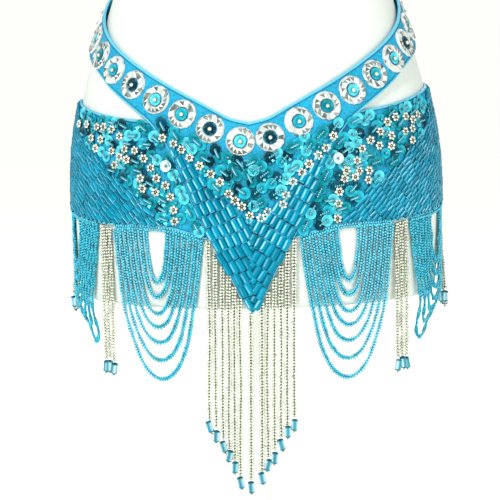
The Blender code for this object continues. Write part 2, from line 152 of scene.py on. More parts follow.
# angle of the strand, height of the top of its tube bead
CENTRE_STRANDS = (
    (-12.4, -154.0), (-10.4, -162.0), (-8.4, -171.5), (-6.7, -179.5), (-5.2, -190.0),
    (-3.6, -203.5), (-0.62, -208.0), (2.7, -199.5), (4.6, -188.0), (6.5, -181.5),
    (8.5, -170.0), (10.4, -158.5), (12.4, -153.0),
)
SIDE_STRANDS = ((47.8, -109.0), (49.8, -107.0), (51.8, -108.0))
REAR_STRANDS = ((97.6, -63.0), (99.9, -67.0), (102.2, -65.0))

# angle and height of each rosette
CENTRE_ROSETTES = (
    (-26.2, 93), (-22.5, 88), (-19.9, 83), (-17.4, 76), (-14.4, 69), (-11.1, 62), (-8.5, 55),
    (-6.0, 45), (-4.3, 39), (-2.4, 34), (-0.2, 26), (2.9, 24), (4.9, 29), (9.2, 35), (10.1, 43),
    (12.2, 54), (14.9, 62), (17.0, 69), (19.8, 76), (22.4, 82), (24.9, 92),
)
LEFT_ROSETTES = (
    (-70.1, 104), (-62.6, 104), (-55.3, 102), (-51.3, 102), (-47.0, 100), (-43.0, 94),
    (-57.8, 92), (-52.1, 91), (-54.6, 83), (-46.1, 81), (-40.5, 83), (-36.4, 82), (-42.5, 76),
    (-39.5, 74), (-32.9, 75), (-44.5, 69), (-30.3, 67), (-34.0, 58), (-28.3, 58), (-33.2, 49),
    (-25.3, 52), (-28.6, 46), (-23.7, 42), (-22.7, 31), (-22.5, 21),
)
RIGHT_ROSETTES = (
    (45.5, 102), (49.4, 106), (54.6, 106), (58.4, 103), (62.1, 107), (42.0, 94), (46.4, 90),
    (37.8, 87), (53.2, 93), (57.3, 95), (56.5, 85), (41.0, 82), (45.9, 81), (34.5, 80),
    (32.5, 70), (28.7, 62), (36.5, 61), (33.0, 61), (28.0, 55), (31.6, 56), (36.0, 53),
    (26.2, 44), (25.8, 34), (25.4, 21),
)


# ---- sizes and colours ----


def length_property(name, description, default):
    return FloatProperty(name=name, description=description, default=default, min=0.0,
                         subtype="DISTANCE", unit="LENGTH", precision=4)


def colour_property(name, description, default):
    return FloatVectorProperty(name=name, description=description, default=default, size=3,
                               min=0.0, max=1.0, subtype="COLOR")


class HipBeltSizes(bpy.types.PropertyGroup):
    """Sizes of what is sewn on the belt"""

    ring: length_property("Ring", "Diameter of a faceted ring", 0.0252)
    sequin: length_property("Sequin", "Diameter of a cup sequin", 0.0102)
    centre_sequin: length_property("Centre sequin", "Diameter of the sequin in a ring", 0.0106)
    rosette: length_property("Rosette", "Diameter of a silver rosette", 0.0084)
    bugle: length_property("Bugle bead", "Length of a bugle bead", 0.0112)
    bugle_width: length_property("Bugle width", "Width of a bugle bead", 0.0060)
    seed: length_property("Seed bead", "Diameter of a seed bead", 0.0025)
    tube: length_property("Tube bead", "Length of the tube bead on a strand's end", 0.0100)
    tube_width: length_property("Tube width", "Diameter of a tube bead", 0.0058)
    stitch: length_property("Stitch", "Length of a topstitch", 0.0020)


class HipBeltColours(bpy.types.PropertyGroup):
    """Colours of the belt and its stand"""

    satin: colour_property("Satin", "Colour of the satin", (0.023, 0.350, 0.570))
    bugle: colour_property("Bugle beads", "Colour of the bugle beads", (0.001, 0.220, 0.350))
    seed: colour_property("Seed beads", "Colour of the swags", (0.018, 0.415, 0.565))
    tube: colour_property("Tube beads", "Colour of the tube beads", (0.040, 0.270, 0.370))
    silver: colour_property("Silver", "Colour of the silver beads", (0.580, 0.610, 0.500))
    form: colour_property("Form", "Colour of the form and stand", (0.810, 0.860, 0.810))
    floor: colour_property("Floor", "Colour of the floor", (0.930, 0.940, 0.880))


# ---- places on the form ----


class SmoothTable:
    """A smooth curve through a table's rows: one column read from the first one."""

    def __init__(self, rows, column=1):
        self.places = np.array([row[0] for row in rows], dtype=float)
        self.values = np.array([row[column] for row in rows], dtype=float)
        self.slopes = np.gradient(self.values, self.places)

    def at(self, place):
        place = np.clip(place, self.places[0], self.places[-1])
        row = np.searchsorted(self.places, place, side="right") - 1
        row = np.clip(row, 0, len(self.places) - 2)
        span = self.places[row + 1] - self.places[row]
        part = (place - self.places[row]) / span
        start = (1 + 2 * part) * (1 - part) ** 2 * self.values[row]
        start = start + part * (1 - part) ** 2 * span * self.slopes[row]
        end = part * part * (3 - 2 * part) * self.values[row + 1]
        end = end + part * part * (part - 1) * span * self.slopes[row + 1]
        return start + end


HALF_WIDTH = SmoothTable(FORM_SECTIONS, 1)
HALF_DEPTH = SmoothTable(FORM_SECTIONS, 2)
STRAP_TOP_EDGE = SmoothTable(STRAP_TOP)
YOKE_LOW_EDGE = SmoothTable(YOKE_LOW)
PANEL_TOP_EDGE = SmoothTable(PANEL_TOP)
PANEL_HEM_EDGE = SmoothTable(PANEL_HEM)
PANEL_LINE_EDGE = SmoothTable(PANEL_LINE)
CENTRE_LINE_EDGE = SmoothTable(CENTRE_LINE)


def on_form(angle, height, out=0.0, level=None):
    """Points round the form, from angles in degrees and heights in millimetres."""
    level = height if level is None else level
    half_width = HALF_WIDTH.at(level) * MM
    half_depth = HALF_DEPTH.at(level) * MM
    turn = np.radians(angle)
    across = np.sin(turn) / half_width
    away = -np.cos(turn) / half_depth
    size = np.hypot(across, away)
    x = half_width * np.sin(turn) + out * across / size
    y = -half_depth * np.cos(turn) + out * away / size
    z = HIP_LINE + height * MM + 0.0 * x
    return np.stack(np.broadcast_arrays(x, y, z), axis=-1)


def metres_per_degree(angle, level):
    turn = np.radians(angle)
    return np.radians(np.hypot(HALF_WIDTH.at(level) * MM * np.cos(turn),
                               HALF_DEPTH.at(level) * MM * np.sin(turn)))


def yoke_low(angle):
    return YOKE_LOW_EDGE.at(np.abs(angle))


def strap_top(angle):
    return STRAP_TOP_EDGE.at(np.abs(angle))


def panel_hem(angle):
    return PANEL_HEM_EDGE.at(np.abs(angle))


def panel_top(angle):
    edge = PANEL_TOP_EDGE.at(np.maximum(np.abs(angle), PANEL_TOP[0][0]))
    edge = edge + TOP_EDGE_LIFT * np.sin(np.radians(angle))
    return np.minimum(edge, yoke_low(angle) + TUCK)


ARC_LEVEL = 70.0
ARC_ANGLES = np.linspace(0.0, 180.0, 721)
ARC_LENGTHS = np.concatenate(([0.0], np.cumsum(
    metres_per_degree(0.5 * (ARC_ANGLES[1:] + ARC_ANGLES[:-1]), ARC_LEVEL)
    * np.diff(ARC_ANGLES)))) / MM


def along_to_angle(along):
    """Angle for a distance in millimetres round the form from the centre front."""
    return np.sign(along) * np.interp(np.abs(along), ARC_LENGTHS, ARC_ANGLES)


def angle_to_along(angle):
    return np.sign(angle) * np.interp(np.abs(angle), ARC_ANGLES, ARC_LENGTHS)


def surface_place(angle, height, out, twist=0.0, tilt=0.0, size=(1.0, 1.0, 1.0), level=None):
    """A 4 by 4 place on the form: x along it, y up it and z outwards, turned by twist.

    tilt then lifts the x end, and size scales the shape. Both turns are in degrees.
    """
    here, left, right, below, above = on_form(
        np.array([angle, angle - 0.2, angle + 0.2, angle, angle]),
        np.array([height, height, height, height - 1.0, height + 1.0]), out,
        None if level is None else np.full(5, level))
    x = Vector(right - left).normalized()
    z = x.cross(Vector(above - below)).normalized()
    y = z.cross(x)
    turn = Matrix((x, y, z)).transposed().to_4x4()
    turn = turn @ Matrix.Rotation(math.radians(twist), 4, "Z")
    turn = turn @ Matrix.Rotation(-math.radians(tilt), 4, "Y")
    return np.array(Matrix.Translation(Vector(here)) @ turn @ Matrix.Diagonal((*size, 1.0)))


# ---- materials ----

BLUE_GLEAM = (0.25, 0.85, 1.0, 1.0)


def new_group(name, inputs, outputs):
    """An empty node group with float or colour sockets, given as pairs of name and default."""
    group = bpy.data.node_groups.new(name, "ShaderNodeTree")
    for label, default in inputs:
        kind = "NodeSocketColor" if isinstance(default, tuple) else "NodeSocketFloat"
        socket = group.interface.new_socket(name=label, in_out="INPUT", socket_type=kind)
        socket.default_value = default
    for label, kind in outputs:
        group.interface.new_socket(name=label, in_out="OUTPUT", socket_type=kind)
    group.nodes.new("NodeGroupInput")
    group.nodes.new("NodeGroupOutput")
    return group


def link_in(tree, node, socket, value):
    """Sets a socket, or links it when the value is another node's socket."""
    if isinstance(value, bpy.types.NodeSocket):
        tree.links.new(value, node.inputs[socket])
    else:
        node.inputs[socket].default_value = value


def maths(tree, operation, first, second=0.0):
    node = tree.nodes.new("ShaderNodeMath")
    node.operation = operation
    link_in(tree, node, 0, first)
    link_in(tree, node, 1, second)
    return node.outputs[0]


def blended(tree, share, first, second):
    """A colour between two others."""
    node = tree.nodes.new("ShaderNodeMix")
    node.data_type = "RGBA"
    node.clamp_factor = True
    link_in(tree, node, "Factor", share)
    link_in(tree, node, 6, first)
    link_in(tree, node, 7, second)
    return node.outputs[2]


def noise(tree, scale, detail, vector=None):
    node = tree.nodes.new("ShaderNodeTexNoise")
    node.inputs["Scale"].default_value = scale
    node.inputs["Detail"].default_value = detail
    if vector is not None:
        tree.links.new(vector, node.inputs["Vector"])
    return node.outputs["Fac"]


def grain_group():
    """Fine irregular grain, as a share from 0 to 1 and a height."""
    group = bpy.data.node_groups.get("Fine grain")
    if group:
        return group
    group = new_group("Fine grain", (("Scale", 900.0), ("Amount", 0.5)),
                      (("Share", "NodeSocketFloat"), ("Height", "NodeSocketFloat")))
    start = group.nodes["Group Input"]
    end = group.nodes["Group Output"]
    place = group.nodes.new("ShaderNodeTexCoord").outputs["Object"]
    fine = group.nodes.new("ShaderNodeTexNoise")
    fine.inputs["Detail"].default_value = 3.0
    group.links.new(place, fine.inputs["Vector"])
    group.links.new(start.outputs["Scale"], fine.inputs["Scale"])
    broad = noise(group, 28.0, 2.0, place)
    mixed = maths(group, "ADD", maths(group, "MULTIPLY", fine.outputs["Fac"], 0.65),
                  maths(group, "MULTIPLY", broad, 0.35))
    centred = maths(group, "SUBTRACT", mixed, 0.5)
    scaled = maths(group, "MULTIPLY", centred, start.outputs["Amount"])
    share = maths(group, "ADD", maths(group, "MULTIPLY", scaled, 2.4), 0.5)
    group.links.new(share, end.inputs["Share"])
    group.links.new(scaled, end.inputs["Height"])
    return group


def weave_group():
    """Satin's long floats, read from the piece's own UV map in metres."""
    group = bpy.data.node_groups.get("Satin weave")
    if group:
        return group
    group = new_group("Satin weave", (("Threads", 2600.0),),
                      (("Share", "NodeSocketFloat"), ("Height", "NodeSocketFloat")))
    start = group.nodes["Group Input"]
    end = group.nodes["Group Output"]
    place = group.nodes.new("ShaderNodeUVMap")
    place.uv_map = "cloth"
    apart = group.nodes.new("ShaderNodeSeparateXYZ")
    group.links.new(place.outputs["UV"], apart.inputs[0])
    across = maths(group, "MULTIPLY", apart.outputs[0], start.outputs["Threads"])
    up = maths(group, "MULTIPLY", apart.outputs[1], start.outputs["Threads"])
    twill = maths(group, "SINE", maths(group, "ADD", across, maths(group, "MULTIPLY", up, 0.37)))
    threads = maths(group, "SINE", maths(group, "MULTIPLY", up, 1.9))
    height = maths(group, "ADD", maths(group, "MULTIPLY", twill, 0.6),
                   maths(group, "MULTIPLY", threads, 0.4))
    group.links.new(maths(group, "ADD", maths(group, "MULTIPLY", height, 0.5), 0.5),
                    end.inputs["Share"])
    group.links.new(height, end.inputs["Height"])
    return group


def tint_group():
    """The tint and shade kept with each small piece: the tint a share, of tone or, on the satin, rings and
    sequins, of painted highlight or reflection; the shade a value of painted shade, which on beads paints a
    highlight above a half.
    """
    group = bpy.data.node_groups.get("Piece tint and painted light")
    if group:
        return group
    group = new_group("Piece tint and painted light", (("Spread", 1.0),),
                      (("Tint", "NodeSocketFloat"), ("Shade", "NodeSocketFloat")))
    start = group.nodes["Group Input"]
    end = group.nodes["Group Output"]
    tint = group.nodes.new("ShaderNodeAttribute")
    tint.attribute_name = "tint"
    shade = group.nodes.new("ShaderNodeAttribute")
    shade.attribute_name = "shade"
    centred = maths(group, "SUBTRACT", tint.outputs["Fac"], 0.5)
    spread = maths(group, "MULTIPLY", centred, start.outputs["Spread"])
    group.links.new(maths(group, "ADD", spread, 0.5), end.inputs["Tint"])
    group.links.new(shade.outputs["Fac"], end.inputs["Shade"])
    return group


def place_group(tree, group, **values):
    node = tree.nodes.new("ShaderNodeGroup")
    node.node_tree = group
    for label, value in values.items():
        node.inputs[label].default_value = value
    return node


def new_material(name, roughness, metallic=0.0, **plain):
    """A material with its Principled shader. plain sets the shader's other sockets."""
    material = bpy.data.materials.new(name)
    material.use_nodes = True
    shader = material.node_tree.nodes["Principled BSDF"]
    shader.inputs["Roughness"].default_value = roughness
    shader.inputs["Metallic"].default_value = metallic
    for label, value in plain.items():
        shader.inputs[label.replace("_", " ")].default_value = value
    return material, material.node_tree, shader


def add_bump(tree, shader, height, strength, distance):
    bump = tree.nodes.new("ShaderNodeBump")
    bump.inputs["Strength"].default_value = strength
    bump.inputs["Distance"].default_value = distance
    tree.links.new(height, bump.inputs["Height"])
    tree.links.new(bump.outputs["Normal"], shader.inputs["Normal"])


def shaded(colour, factor):
    return tuple(min(1.0, part * factor) for part in colour[:3]) + (1.0,)


def made_once(maker):
    """Keeps the material that a maker returns, by its function's name."""
    def ask():
        name = maker.__name__.replace("_", " ")
        return bpy.data.materials.get(name) or maker(name)
    return ask


@made_once
def satin_finish(name):
    colour = bpy.context.scene.belt_colours.satin
    material, tree, shader = new_material(name, 0.40, Sheen_Weight=0.02, Sheen_Roughness=0.4,
                                          Specular_IOR_Level=0.16, Specular_Tint=BLUE_GLEAM)
    weave = place_group(tree, weave_group(), Threads=2600.0)
    grain = place_group(tree, grain_group(), Scale=620.0, Amount=1.2)
    edge = place_group(tree, tint_group(), Spread=1.0)
    base = blended(tree, grain.outputs["Share"], shaded(colour, 0.60), shaded(colour, 1.40))
    woven = blended(tree, maths(tree, "MULTIPLY", weave.outputs["Share"], 0.18), base,
                    shaded(colour, 1.5))
    # painted highlight along the rolled edges, then painted shade down the topstitch groove
    rolled = blended(tree, edge.outputs["Tint"], woven, (0.20, 0.66, 0.84, 1.0))
    groove_shaded = blended(tree, edge.outputs["Shade"], shaded(colour, 0.42), rolled)
    tree.links.new(groove_shaded, shader.inputs["Base Color"])
    rough = maths(tree, "ADD", maths(tree, "MULTIPLY", grain.outputs["Share"], 0.16), 0.32)
    tree.links.new(rough, shader.inputs["Roughness"])
    height = maths(tree, "ADD", maths(tree, "MULTIPLY", weave.outputs["Height"], 0.10),
                   grain.outputs["Height"])
    add_bump(tree, shader, height, 0.60, 0.0008)
    return material


@made_once
def thread_finish(name):
    colour = bpy.context.scene.belt_colours.satin
    material, tree, shader = new_material(name, 0.6)
    tint = place_group(tree, tint_group(), Spread=0.8)
    tree.links.new(blended(tree, tint.outputs["Tint"], (0.002, 0.130, 0.230, 1.0), (0.006, 0.260, 0.400, 1.0)),
                   shader.inputs["Base Color"])
    grain = place_group(tree, grain_group(), Scale=3000.0, Amount=1.0)
    add_bump(tree, shader, grain.outputs["Height"], 0.4, 0.0002)
    return material


@made_once
def ring_finish(name):
    material, tree, shader = new_material(name, 0.08, Specular_IOR_Level=0.5)
    tint = place_group(tree, tint_group(), Spread=1.0)
    # ramp from the dark of a painted reflection through grey to the ring's white
    ramp = tree.nodes.new("ShaderNodeValToRGB")
    ramp.color_ramp.elements[0].color = (0.035, 0.055, 0.052, 1.0)
    ramp.color_ramp.elements[1].color = (0.860, 0.880, 0.860, 1.0)
    middle = ramp.color_ramp.elements.new(0.45)
    middle.color = (0.330, 0.390, 0.370, 1.0)
    tree.links.new(tint.outputs["Tint"], ramp.inputs["Fac"])
    grain = place_group(tree, grain_group(), Scale=500.0, Amount=0.7)
    mixed = blended(tree, maths(tree, "MULTIPLY", grain.outputs["Share"], 0.15),
                    ramp.outputs["Color"], (0.55, 0.66, 0.68, 1.0))
    tree.links.new(mixed, shader.inputs["Base Color"])
    return material


@made_once
def sequin_finish(name):
    """Foil sequins in four blues and a few white glints, one for each sequin: the blues are painted
    reflections, dark or light as the sequin would mirror its surroundings, and the white ones painted glints.
    """
    material, tree, shader = new_material(name, 0.16, Specular_IOR_Level=0.40,
                                          Specular_Tint=BLUE_GLEAM)
    tint = place_group(tree, tint_group(), Spread=1.0)
    ramp = tree.nodes.new("ShaderNodeValToRGB")
    ramp.color_ramp.interpolation = "CONSTANT"
    # bands of painted reflection, from a sequin mirroring dark surroundings to one mirroring light, and white
    # as a painted glint
    bands = ((0.0, (0.0008, 0.018, 0.035)), (0.15, (0.001, 0.080, 0.130)),
             (0.24, (0.003, 0.300, 0.375)), (0.48, (0.016, 0.510, 0.650)),
             (0.76, (0.120, 0.780, 0.910)), (0.975, (0.800, 0.950, 0.970)))
    ramp.color_ramp.elements[0].color = (*bands[0][1], 1.0)
    ramp.color_ramp.elements[1].position = bands[1][0]
    ramp.color_ramp.elements[1].color = (*bands[1][1], 1.0)
    for place, colour in bands[2:]:
        ramp.color_ramp.elements.new(place).color = (*colour, 1.0)
    tree.links.new(tint.outputs["Tint"], ramp.inputs["Fac"])
    grain = place_group(tree, grain_group(), Scale=700.0, Amount=1.0)
    mixed = blended(tree, maths(tree, "MULTIPLY", grain.outputs["Share"], 0.10),
                    ramp.outputs["Color"], (0.02, 0.22, 0.30, 1.0))
    # painted shade at the hole and painted glints on the facets, from the shape's shade
    lit = streaked(tree, tint.outputs["Shade"], (0.001, 0.05, 0.08, 1.0), mixed)
    tree.links.new(lit, shader.inputs["Base Color"])
    rough = maths(tree, "ADD", maths(tree, "MULTIPLY", grain.outputs["Share"], 0.14), 0.08)
    tree.links.new(rough, shader.inputs["Roughness"])
    return material


def streaked(tree, shade, dark, body, painted_highlight=(0.42, 0.80, 0.96, 1.0)):
    """Body colour at half shade, the dark colour below it as painted shade, and the highlight colour above it
    as a painted highlight streak.
    """
    low = blended(tree, maths(tree, "MULTIPLY", shade, 2.0), dark, body)
    return blended(tree, maths(tree, "SUBTRACT", maths(tree, "MULTIPLY", shade, 2.0), 1.0), low,
                   painted_highlight)


def glass_bead(name, colour, dark, light, roughness, painted_highlight=(0.42, 0.80, 0.96, 1.0)):
    """Lined glass: a colour for each bead, with painted shade at its ends and hole and a painted highlight
    streak along it.
    """
    material, tree, shader = new_material(name, roughness, Specular_IOR_Level=0.11,
                                          Specular_Tint=BLUE_GLEAM)
    tint = place_group(tree, tint_group(), Spread=1.0)
    body = blended(tree, tint.outputs["Tint"], shaded(colour, dark), shaded(colour, light))
    grain = place_group(tree, grain_group(), Scale=1100.0, Amount=1.0)
    lit = blended(tree, maths(tree, "MULTIPLY", grain.outputs["Share"], 0.35), body,
                  shaded(colour, 0.5 * (dark + light)))
    # the shape's shade paints shade at the ends and holes and a highlight along the streak
    tree.links.new(streaked(tree, tint.outputs["Shade"], shaded(colour, 0.25), lit, painted_highlight),
                   shader.inputs["Base Color"])
    rough = maths(tree, "ADD", maths(tree, "MULTIPLY", grain.outputs["Share"], 0.10), roughness)
    tree.links.new(rough, shader.inputs["Roughness"])
    return material


@made_once
def bugle_finish(name):
    return glass_bead(name, bpy.context.scene.belt_colours.bugle, 0.60, 1.50, 0.14)


@made_once
def seed_finish(name):
    return glass_bead(name, bpy.context.scene.belt_colours.seed, 0.50, 1.5, 0.14)


@made_once
def tube_finish(name):
    return glass_bead(name, bpy.context.scene.belt_colours.tube, 0.85, 1.2, 0.12,
                      (0.66, 0.86, 0.93, 1.0))


@made_once
def silver_finish(name):
    colour = bpy.context.scene.belt_colours.silver
    material, tree, shader = new_material(name, 0.22, metallic=0.5)
    tint = place_group(tree, tint_group(), Spread=1.0)
    body = blended(tree, tint.outputs["Tint"], shaded(colour, 0.55), shaded(colour, 1.45))
    grain = place_group(tree, grain_group(), Scale=900.0, Amount=1.0)
    worn = blended(tree, maths(tree, "MULTIPLY", grain.outputs["Share"], 0.15), body,
                   (0.45, 0.42, 0.33, 1.0))
    # painted shade for the threads, holes and rosette gaps, and painted highlights, from each shape's shade
    tree.links.new(streaked(tree, tint.outputs["Shade"], (0.065, 0.072, 0.058, 1.0), worn,
                            (0.90, 0.93, 0.86, 1.0)),
                   shader.inputs["Base Color"])
    rough = maths(tree, "ADD", maths(tree, "MULTIPLY", grain.outputs["Share"], 0.2), 0.14)
    tree.links.new(rough, shader.inputs["Roughness"])
    return material


@made_once
def hook_metal_finish(name):
    material, tree, shader = new_material(name, 0.30, metallic=1.0)
    grain = place_group(tree, grain_group(), Scale=1500.0, Amount=1.0)
    tree.links.new(blended(tree, grain.outputs["Share"], (0.42, 0.42, 0.41, 1.0),
                           (0.66, 0.66, 0.64, 1.0)), shader.inputs["Base Color"])
    rough = maths(tree, "ADD", maths(tree, "MULTIPLY", grain.outputs["Share"], 0.25), 0.18)
    tree.links.new(rough, shader.inputs["Roughness"])
    return material


def painted(name, colour, roughness, scale, depth):
    material, tree, shader = new_material(name, roughness)
    grain = place_group(tree, grain_group(), Scale=scale, Amount=1.0)
    tree.links.new(blended(tree, grain.outputs["Share"], shaded(colour, 0.96), shaded(colour, 1.03)),
                   shader.inputs["Base Color"])
    rough = maths(tree, "ADD", maths(tree, "MULTIPLY", grain.outputs["Share"], 0.12),
                  roughness - 0.06)
    tree.links.new(rough, shader.inputs["Roughness"])
    add_bump(tree, shader, grain.outputs["Height"], 0.25, depth)
    return material


@made_once
def form_shell_finish(name):
    return painted(name, bpy.context.scene.belt_colours.form, 0.55, 700.0, 0.0003)


@made_once
def stand_paint_finish(name):
    return painted(name, (0.93, 0.95, 0.91), 0.40, 400.0, 0.0002)


@made_once
def floor_finish(name):
    material = painted(name, bpy.context.scene.belt_colours.floor, 0.85, 60.0, 0.0002)
    shader = material.node_tree.nodes["Principled BSDF"]
    shader.inputs["Emission Color"].default_value = (0.98, 1.0, 0.92, 1.0)
    shader.inputs["Emission Strength"].default_value = 0.62
    return material


# ---- meshes ----


def finished(name, mesh, finish, nodes=()):
    """Links a mesh as a piece of the belt."""
    mesh.name = name
    mesh.materials.append(finish)
    piece = bpy.data.objects.new(name, mesh)
    bpy.context.scene.collection.objects.link(piece)
    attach(piece, BODY)
    if nodes:
        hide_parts(*nodes)
    return piece


def small_shape(name, edit, smooth=True, sharp=35.0):
    """Keeps a bmesh as the mesh that copies are made of."""
    bmesh.ops.recalc_face_normals(edit, faces=edit.faces)
    for face in edit.faces:
        face.smooth = smooth
    mesh = bpy.data.meshes.new(name)
    edit.to_mesh(mesh)
    edit.free()
    if smooth:
        mesh.set_sharp_from_angle(angle=math.radians(sharp))
    return mesh


def shade_of(mesh):
    """The shape's own painted shade and highlight at each point, a half where none is kept."""
    kept = mesh.attributes.get("shade")
    values = np.full(len(mesh.vertices), 0.5)
    if kept:
        kept.data.foreach_get("value", values)
    return values


def joined_copies(name, parts):
    """One mesh from many copies. parts are a shape, its places and a tint for each place."""
    points, corners, starts, smooth, tints, shades, sharp = [], [], [], [], [], [], []
    first_point = 0
    first_corner = 0
    for shape, places, shape_tints in parts:
        if not len(places):
            continue
        places = np.asarray(places)
        count = len(places)
        own = np.empty(len(shape.vertices) * 3)
        shape.vertices.foreach_get("co", own)
        own = own.reshape(-1, 3)
        placed = np.einsum("nij,vj->nvi", places[:, :3, :3], own) + places[:, None, :3, 3]
        loop_points = np.empty(len(shape.loops), dtype=np.int32)
        shape.loops.foreach_get("vertex_index", loop_points)
        face_starts = np.empty(len(shape.polygons), dtype=np.int32)
        shape.polygons.foreach_get("loop_start", face_starts)
        face_smooth = np.empty(len(shape.polygons), dtype=bool)
        shape.polygons.foreach_get("use_smooth", face_smooth)
        step = np.arange(count)[:, None]
        points.append(placed.reshape(-1, 3))
        corners.append((loop_points[None] + step * len(own) + first_point).ravel())
        starts.append((face_starts[None] + step * len(loop_points) + first_corner).ravel())
        smooth.append(np.tile(face_smooth, count))
        tints.append(np.repeat(np.asarray(shape_tints, dtype=float), len(own)))
        shades.append(np.tile(shade_of(shape), count))
        first_point += count * len(own)
        first_corner += count * len(loop_points)
    mesh = bpy.data.meshes.new(name)
    mesh.vertices.add(first_point)
    mesh.vertices.foreach_set("co", np.concatenate(points).ravel())
    mesh.loops.add(first_corner)
    mesh.loops.foreach_set("vertex_index", np.concatenate(corners).astype(np.int32))
    starts = np.concatenate(starts).astype(np.int32)
    mesh.polygons.add(len(starts))
    mesh.polygons.foreach_set("loop_start", starts)
    mesh.update(calc_edges=True)
    mesh.polygons.foreach_set("use_smooth", np.concatenate(smooth))
    for label, values in (("tint", tints), ("shade", shades)):
        mesh.attributes.new(label, "FLOAT", "POINT").data.foreach_set(
            "value", np.concatenate(values))
    mesh.validate()
    return mesh


def seed_bead_shape():
    """A round bead of unit diameter and length, its hole along x, with painted shade at the hole and
    underneath and a painted highlight on one outward point.
    """
    edit = bmesh.new()
    bmesh.ops.create_uvsphere(edit, u_segments=6, v_segments=4, radius=0.5)
    bmesh.ops.rotate(edit, verts=edit.verts, matrix=Matrix.Rotation(math.pi / 2, 3, "Y"))
    shade = edit.verts.layers.float.new("shade")
    brightest = max(edit.verts, key=lambda point: point.co.z + 0.2 * point.co.y - abs(point.co.x))
    for point in edit.verts:
        at_hole = abs(point.co.x) > 0.45
        # painted shade at the hole and on the side facing in, painted highlight on one outward point
        point[shade] = 0.28 if at_hole else (0.38 if point.co.z < 0.1 else 0.52)
        if at_hole:
            point.co.x *= 0.90
    brightest[shade] = 0.95
    return small_shape("seed bead", edit, sharp=80.0)


def bugle_shape(highlight_shade, rim_light_shade=0.64):
    """A flattened glass tube of unit length and width along x, with a painted highlight streak along it,
    painted shade in its hole and at its sides, and painted light on its rims.
    """
    edit = bmesh.new()
    profile = ((-0.44, 0.26), (-0.50, 0.44), (-0.42, 0.50), (-0.27, 0.50), (0.27, 0.50),
               (0.42, 0.50), (0.50, 0.44), (0.44, 0.26))
    points = [edit.verts.new((along, radius, 0.0)) for along, radius in profile]
    edges = [edit.edges.new((points[i], points[(i + 1) % len(points)]))
             for i in range(len(points))]
    bmesh.ops.spin(edit, geom=points + edges, cent=(0, 0, 0), axis=(1, 0, 0), angle=math.tau,
                   steps=16, use_merge=True)
    shade = edit.verts.layers.float.new("shade")
    for point in edit.verts:
        turn = math.degrees(math.atan2(point.co.z, point.co.y))
        radius = math.hypot(point.co.y, point.co.z)
        end = abs(point.co.x)
        # ends: painted shade in the hole and painted light on the rim; middle: the painted highlight streak;
        # elsewhere painted shade towards the sides
        if end > 0.43:
            point[shade] = 0.30 if radius < 0.40 else rim_light_shade
        elif end < 0.3 and abs(turn - 112.5) < 8.0:
            point[shade] = highlight_shade
        else:
            point[shade] = 0.50 - 0.09 * abs(math.cos(math.radians(turn))) ** 3
        point.co.z *= 0.60
    return small_shape("bugle bead", edit, sharp=50.0)


def tube_bead_shape():
    """A wide cut tube bead of unit length along x, with painted shade at its ends and painted highlights down
    its sides.
    """
    edit = bmesh.new()
    profile = ((-0.47, 0.20), (-0.50, 0.36), (-0.45, 0.50), (-0.34, 0.50), (0.34, 0.50),
               (0.45, 0.50), (0.50, 0.36), (0.47, 0.20))
    points = [edit.verts.new((along, radius, 0.0)) for along, radius in profile]
    edges = [edit.edges.new((points[i], points[(i + 1) % len(points)]))
             for i in range(len(points))]
    bmesh.ops.spin(edit, geom=points + edges, cent=(0, 0, 0), axis=(1, 0, 0), angle=math.tau,
                   steps=12, use_merge=True)
    shade = edit.verts.layers.float.new("shade")
    for point in edit.verts:
        turn = abs(math.degrees(math.atan2(point.co.z, point.co.y)))
        # painted shade at the ends, painted highlights on the faces either side of the middle
        if abs(point.co.x) > 0.42:
            point[shade] = 0.12
        else:
            point[shade] = {0: 0.55, 30: 0.95, 60: 0.70, 90: 0.44, 120: 0.58, 150: 1.0,
                            180: 0.60}[round(turn)]
    return small_shape("tube bead", edit, smooth=False)


def sequin_shape():
    """A cup sequin of unit diameter with a hole and flat facets round it, painted with shade at the hole and
    over the middle and three glints round the rim.
    """
    edit = bmesh.new()
    profile = ((0.065, 0.050), (0.25, 0.042), (0.50, 0.150), (0.50, 0.130), (0.25, 0.018),
               (0.065, 0.028))
    points = [edit.verts.new((radius, 0.0, up)) for radius, up in profile]
    edges = [edit.edges.new((points[i], points[(i + 1) % len(points)]))
             for i in range(len(points))]
    bmesh.ops.spin(edit, geom=points + edges, cent=(0, 0, 0), axis=(0, 0, 1), angle=math.tau,
                   steps=12, use_merge=True)
    shade = edit.verts.layers.float.new("shade")
    # painted shade at the hole and over the middle, three painted glints round the rim
    for point in edit.verts:
        radius = point.co.to_2d().length
        facet = math.cos(3.0 * math.atan2(point.co.y, point.co.x))
        point[shade] = 0.10 if radius < 0.1 else (0.40 if radius < 0.3 else 0.47 + 0.14 * facet)
    return small_shape("cup sequin", edit, smooth=False)


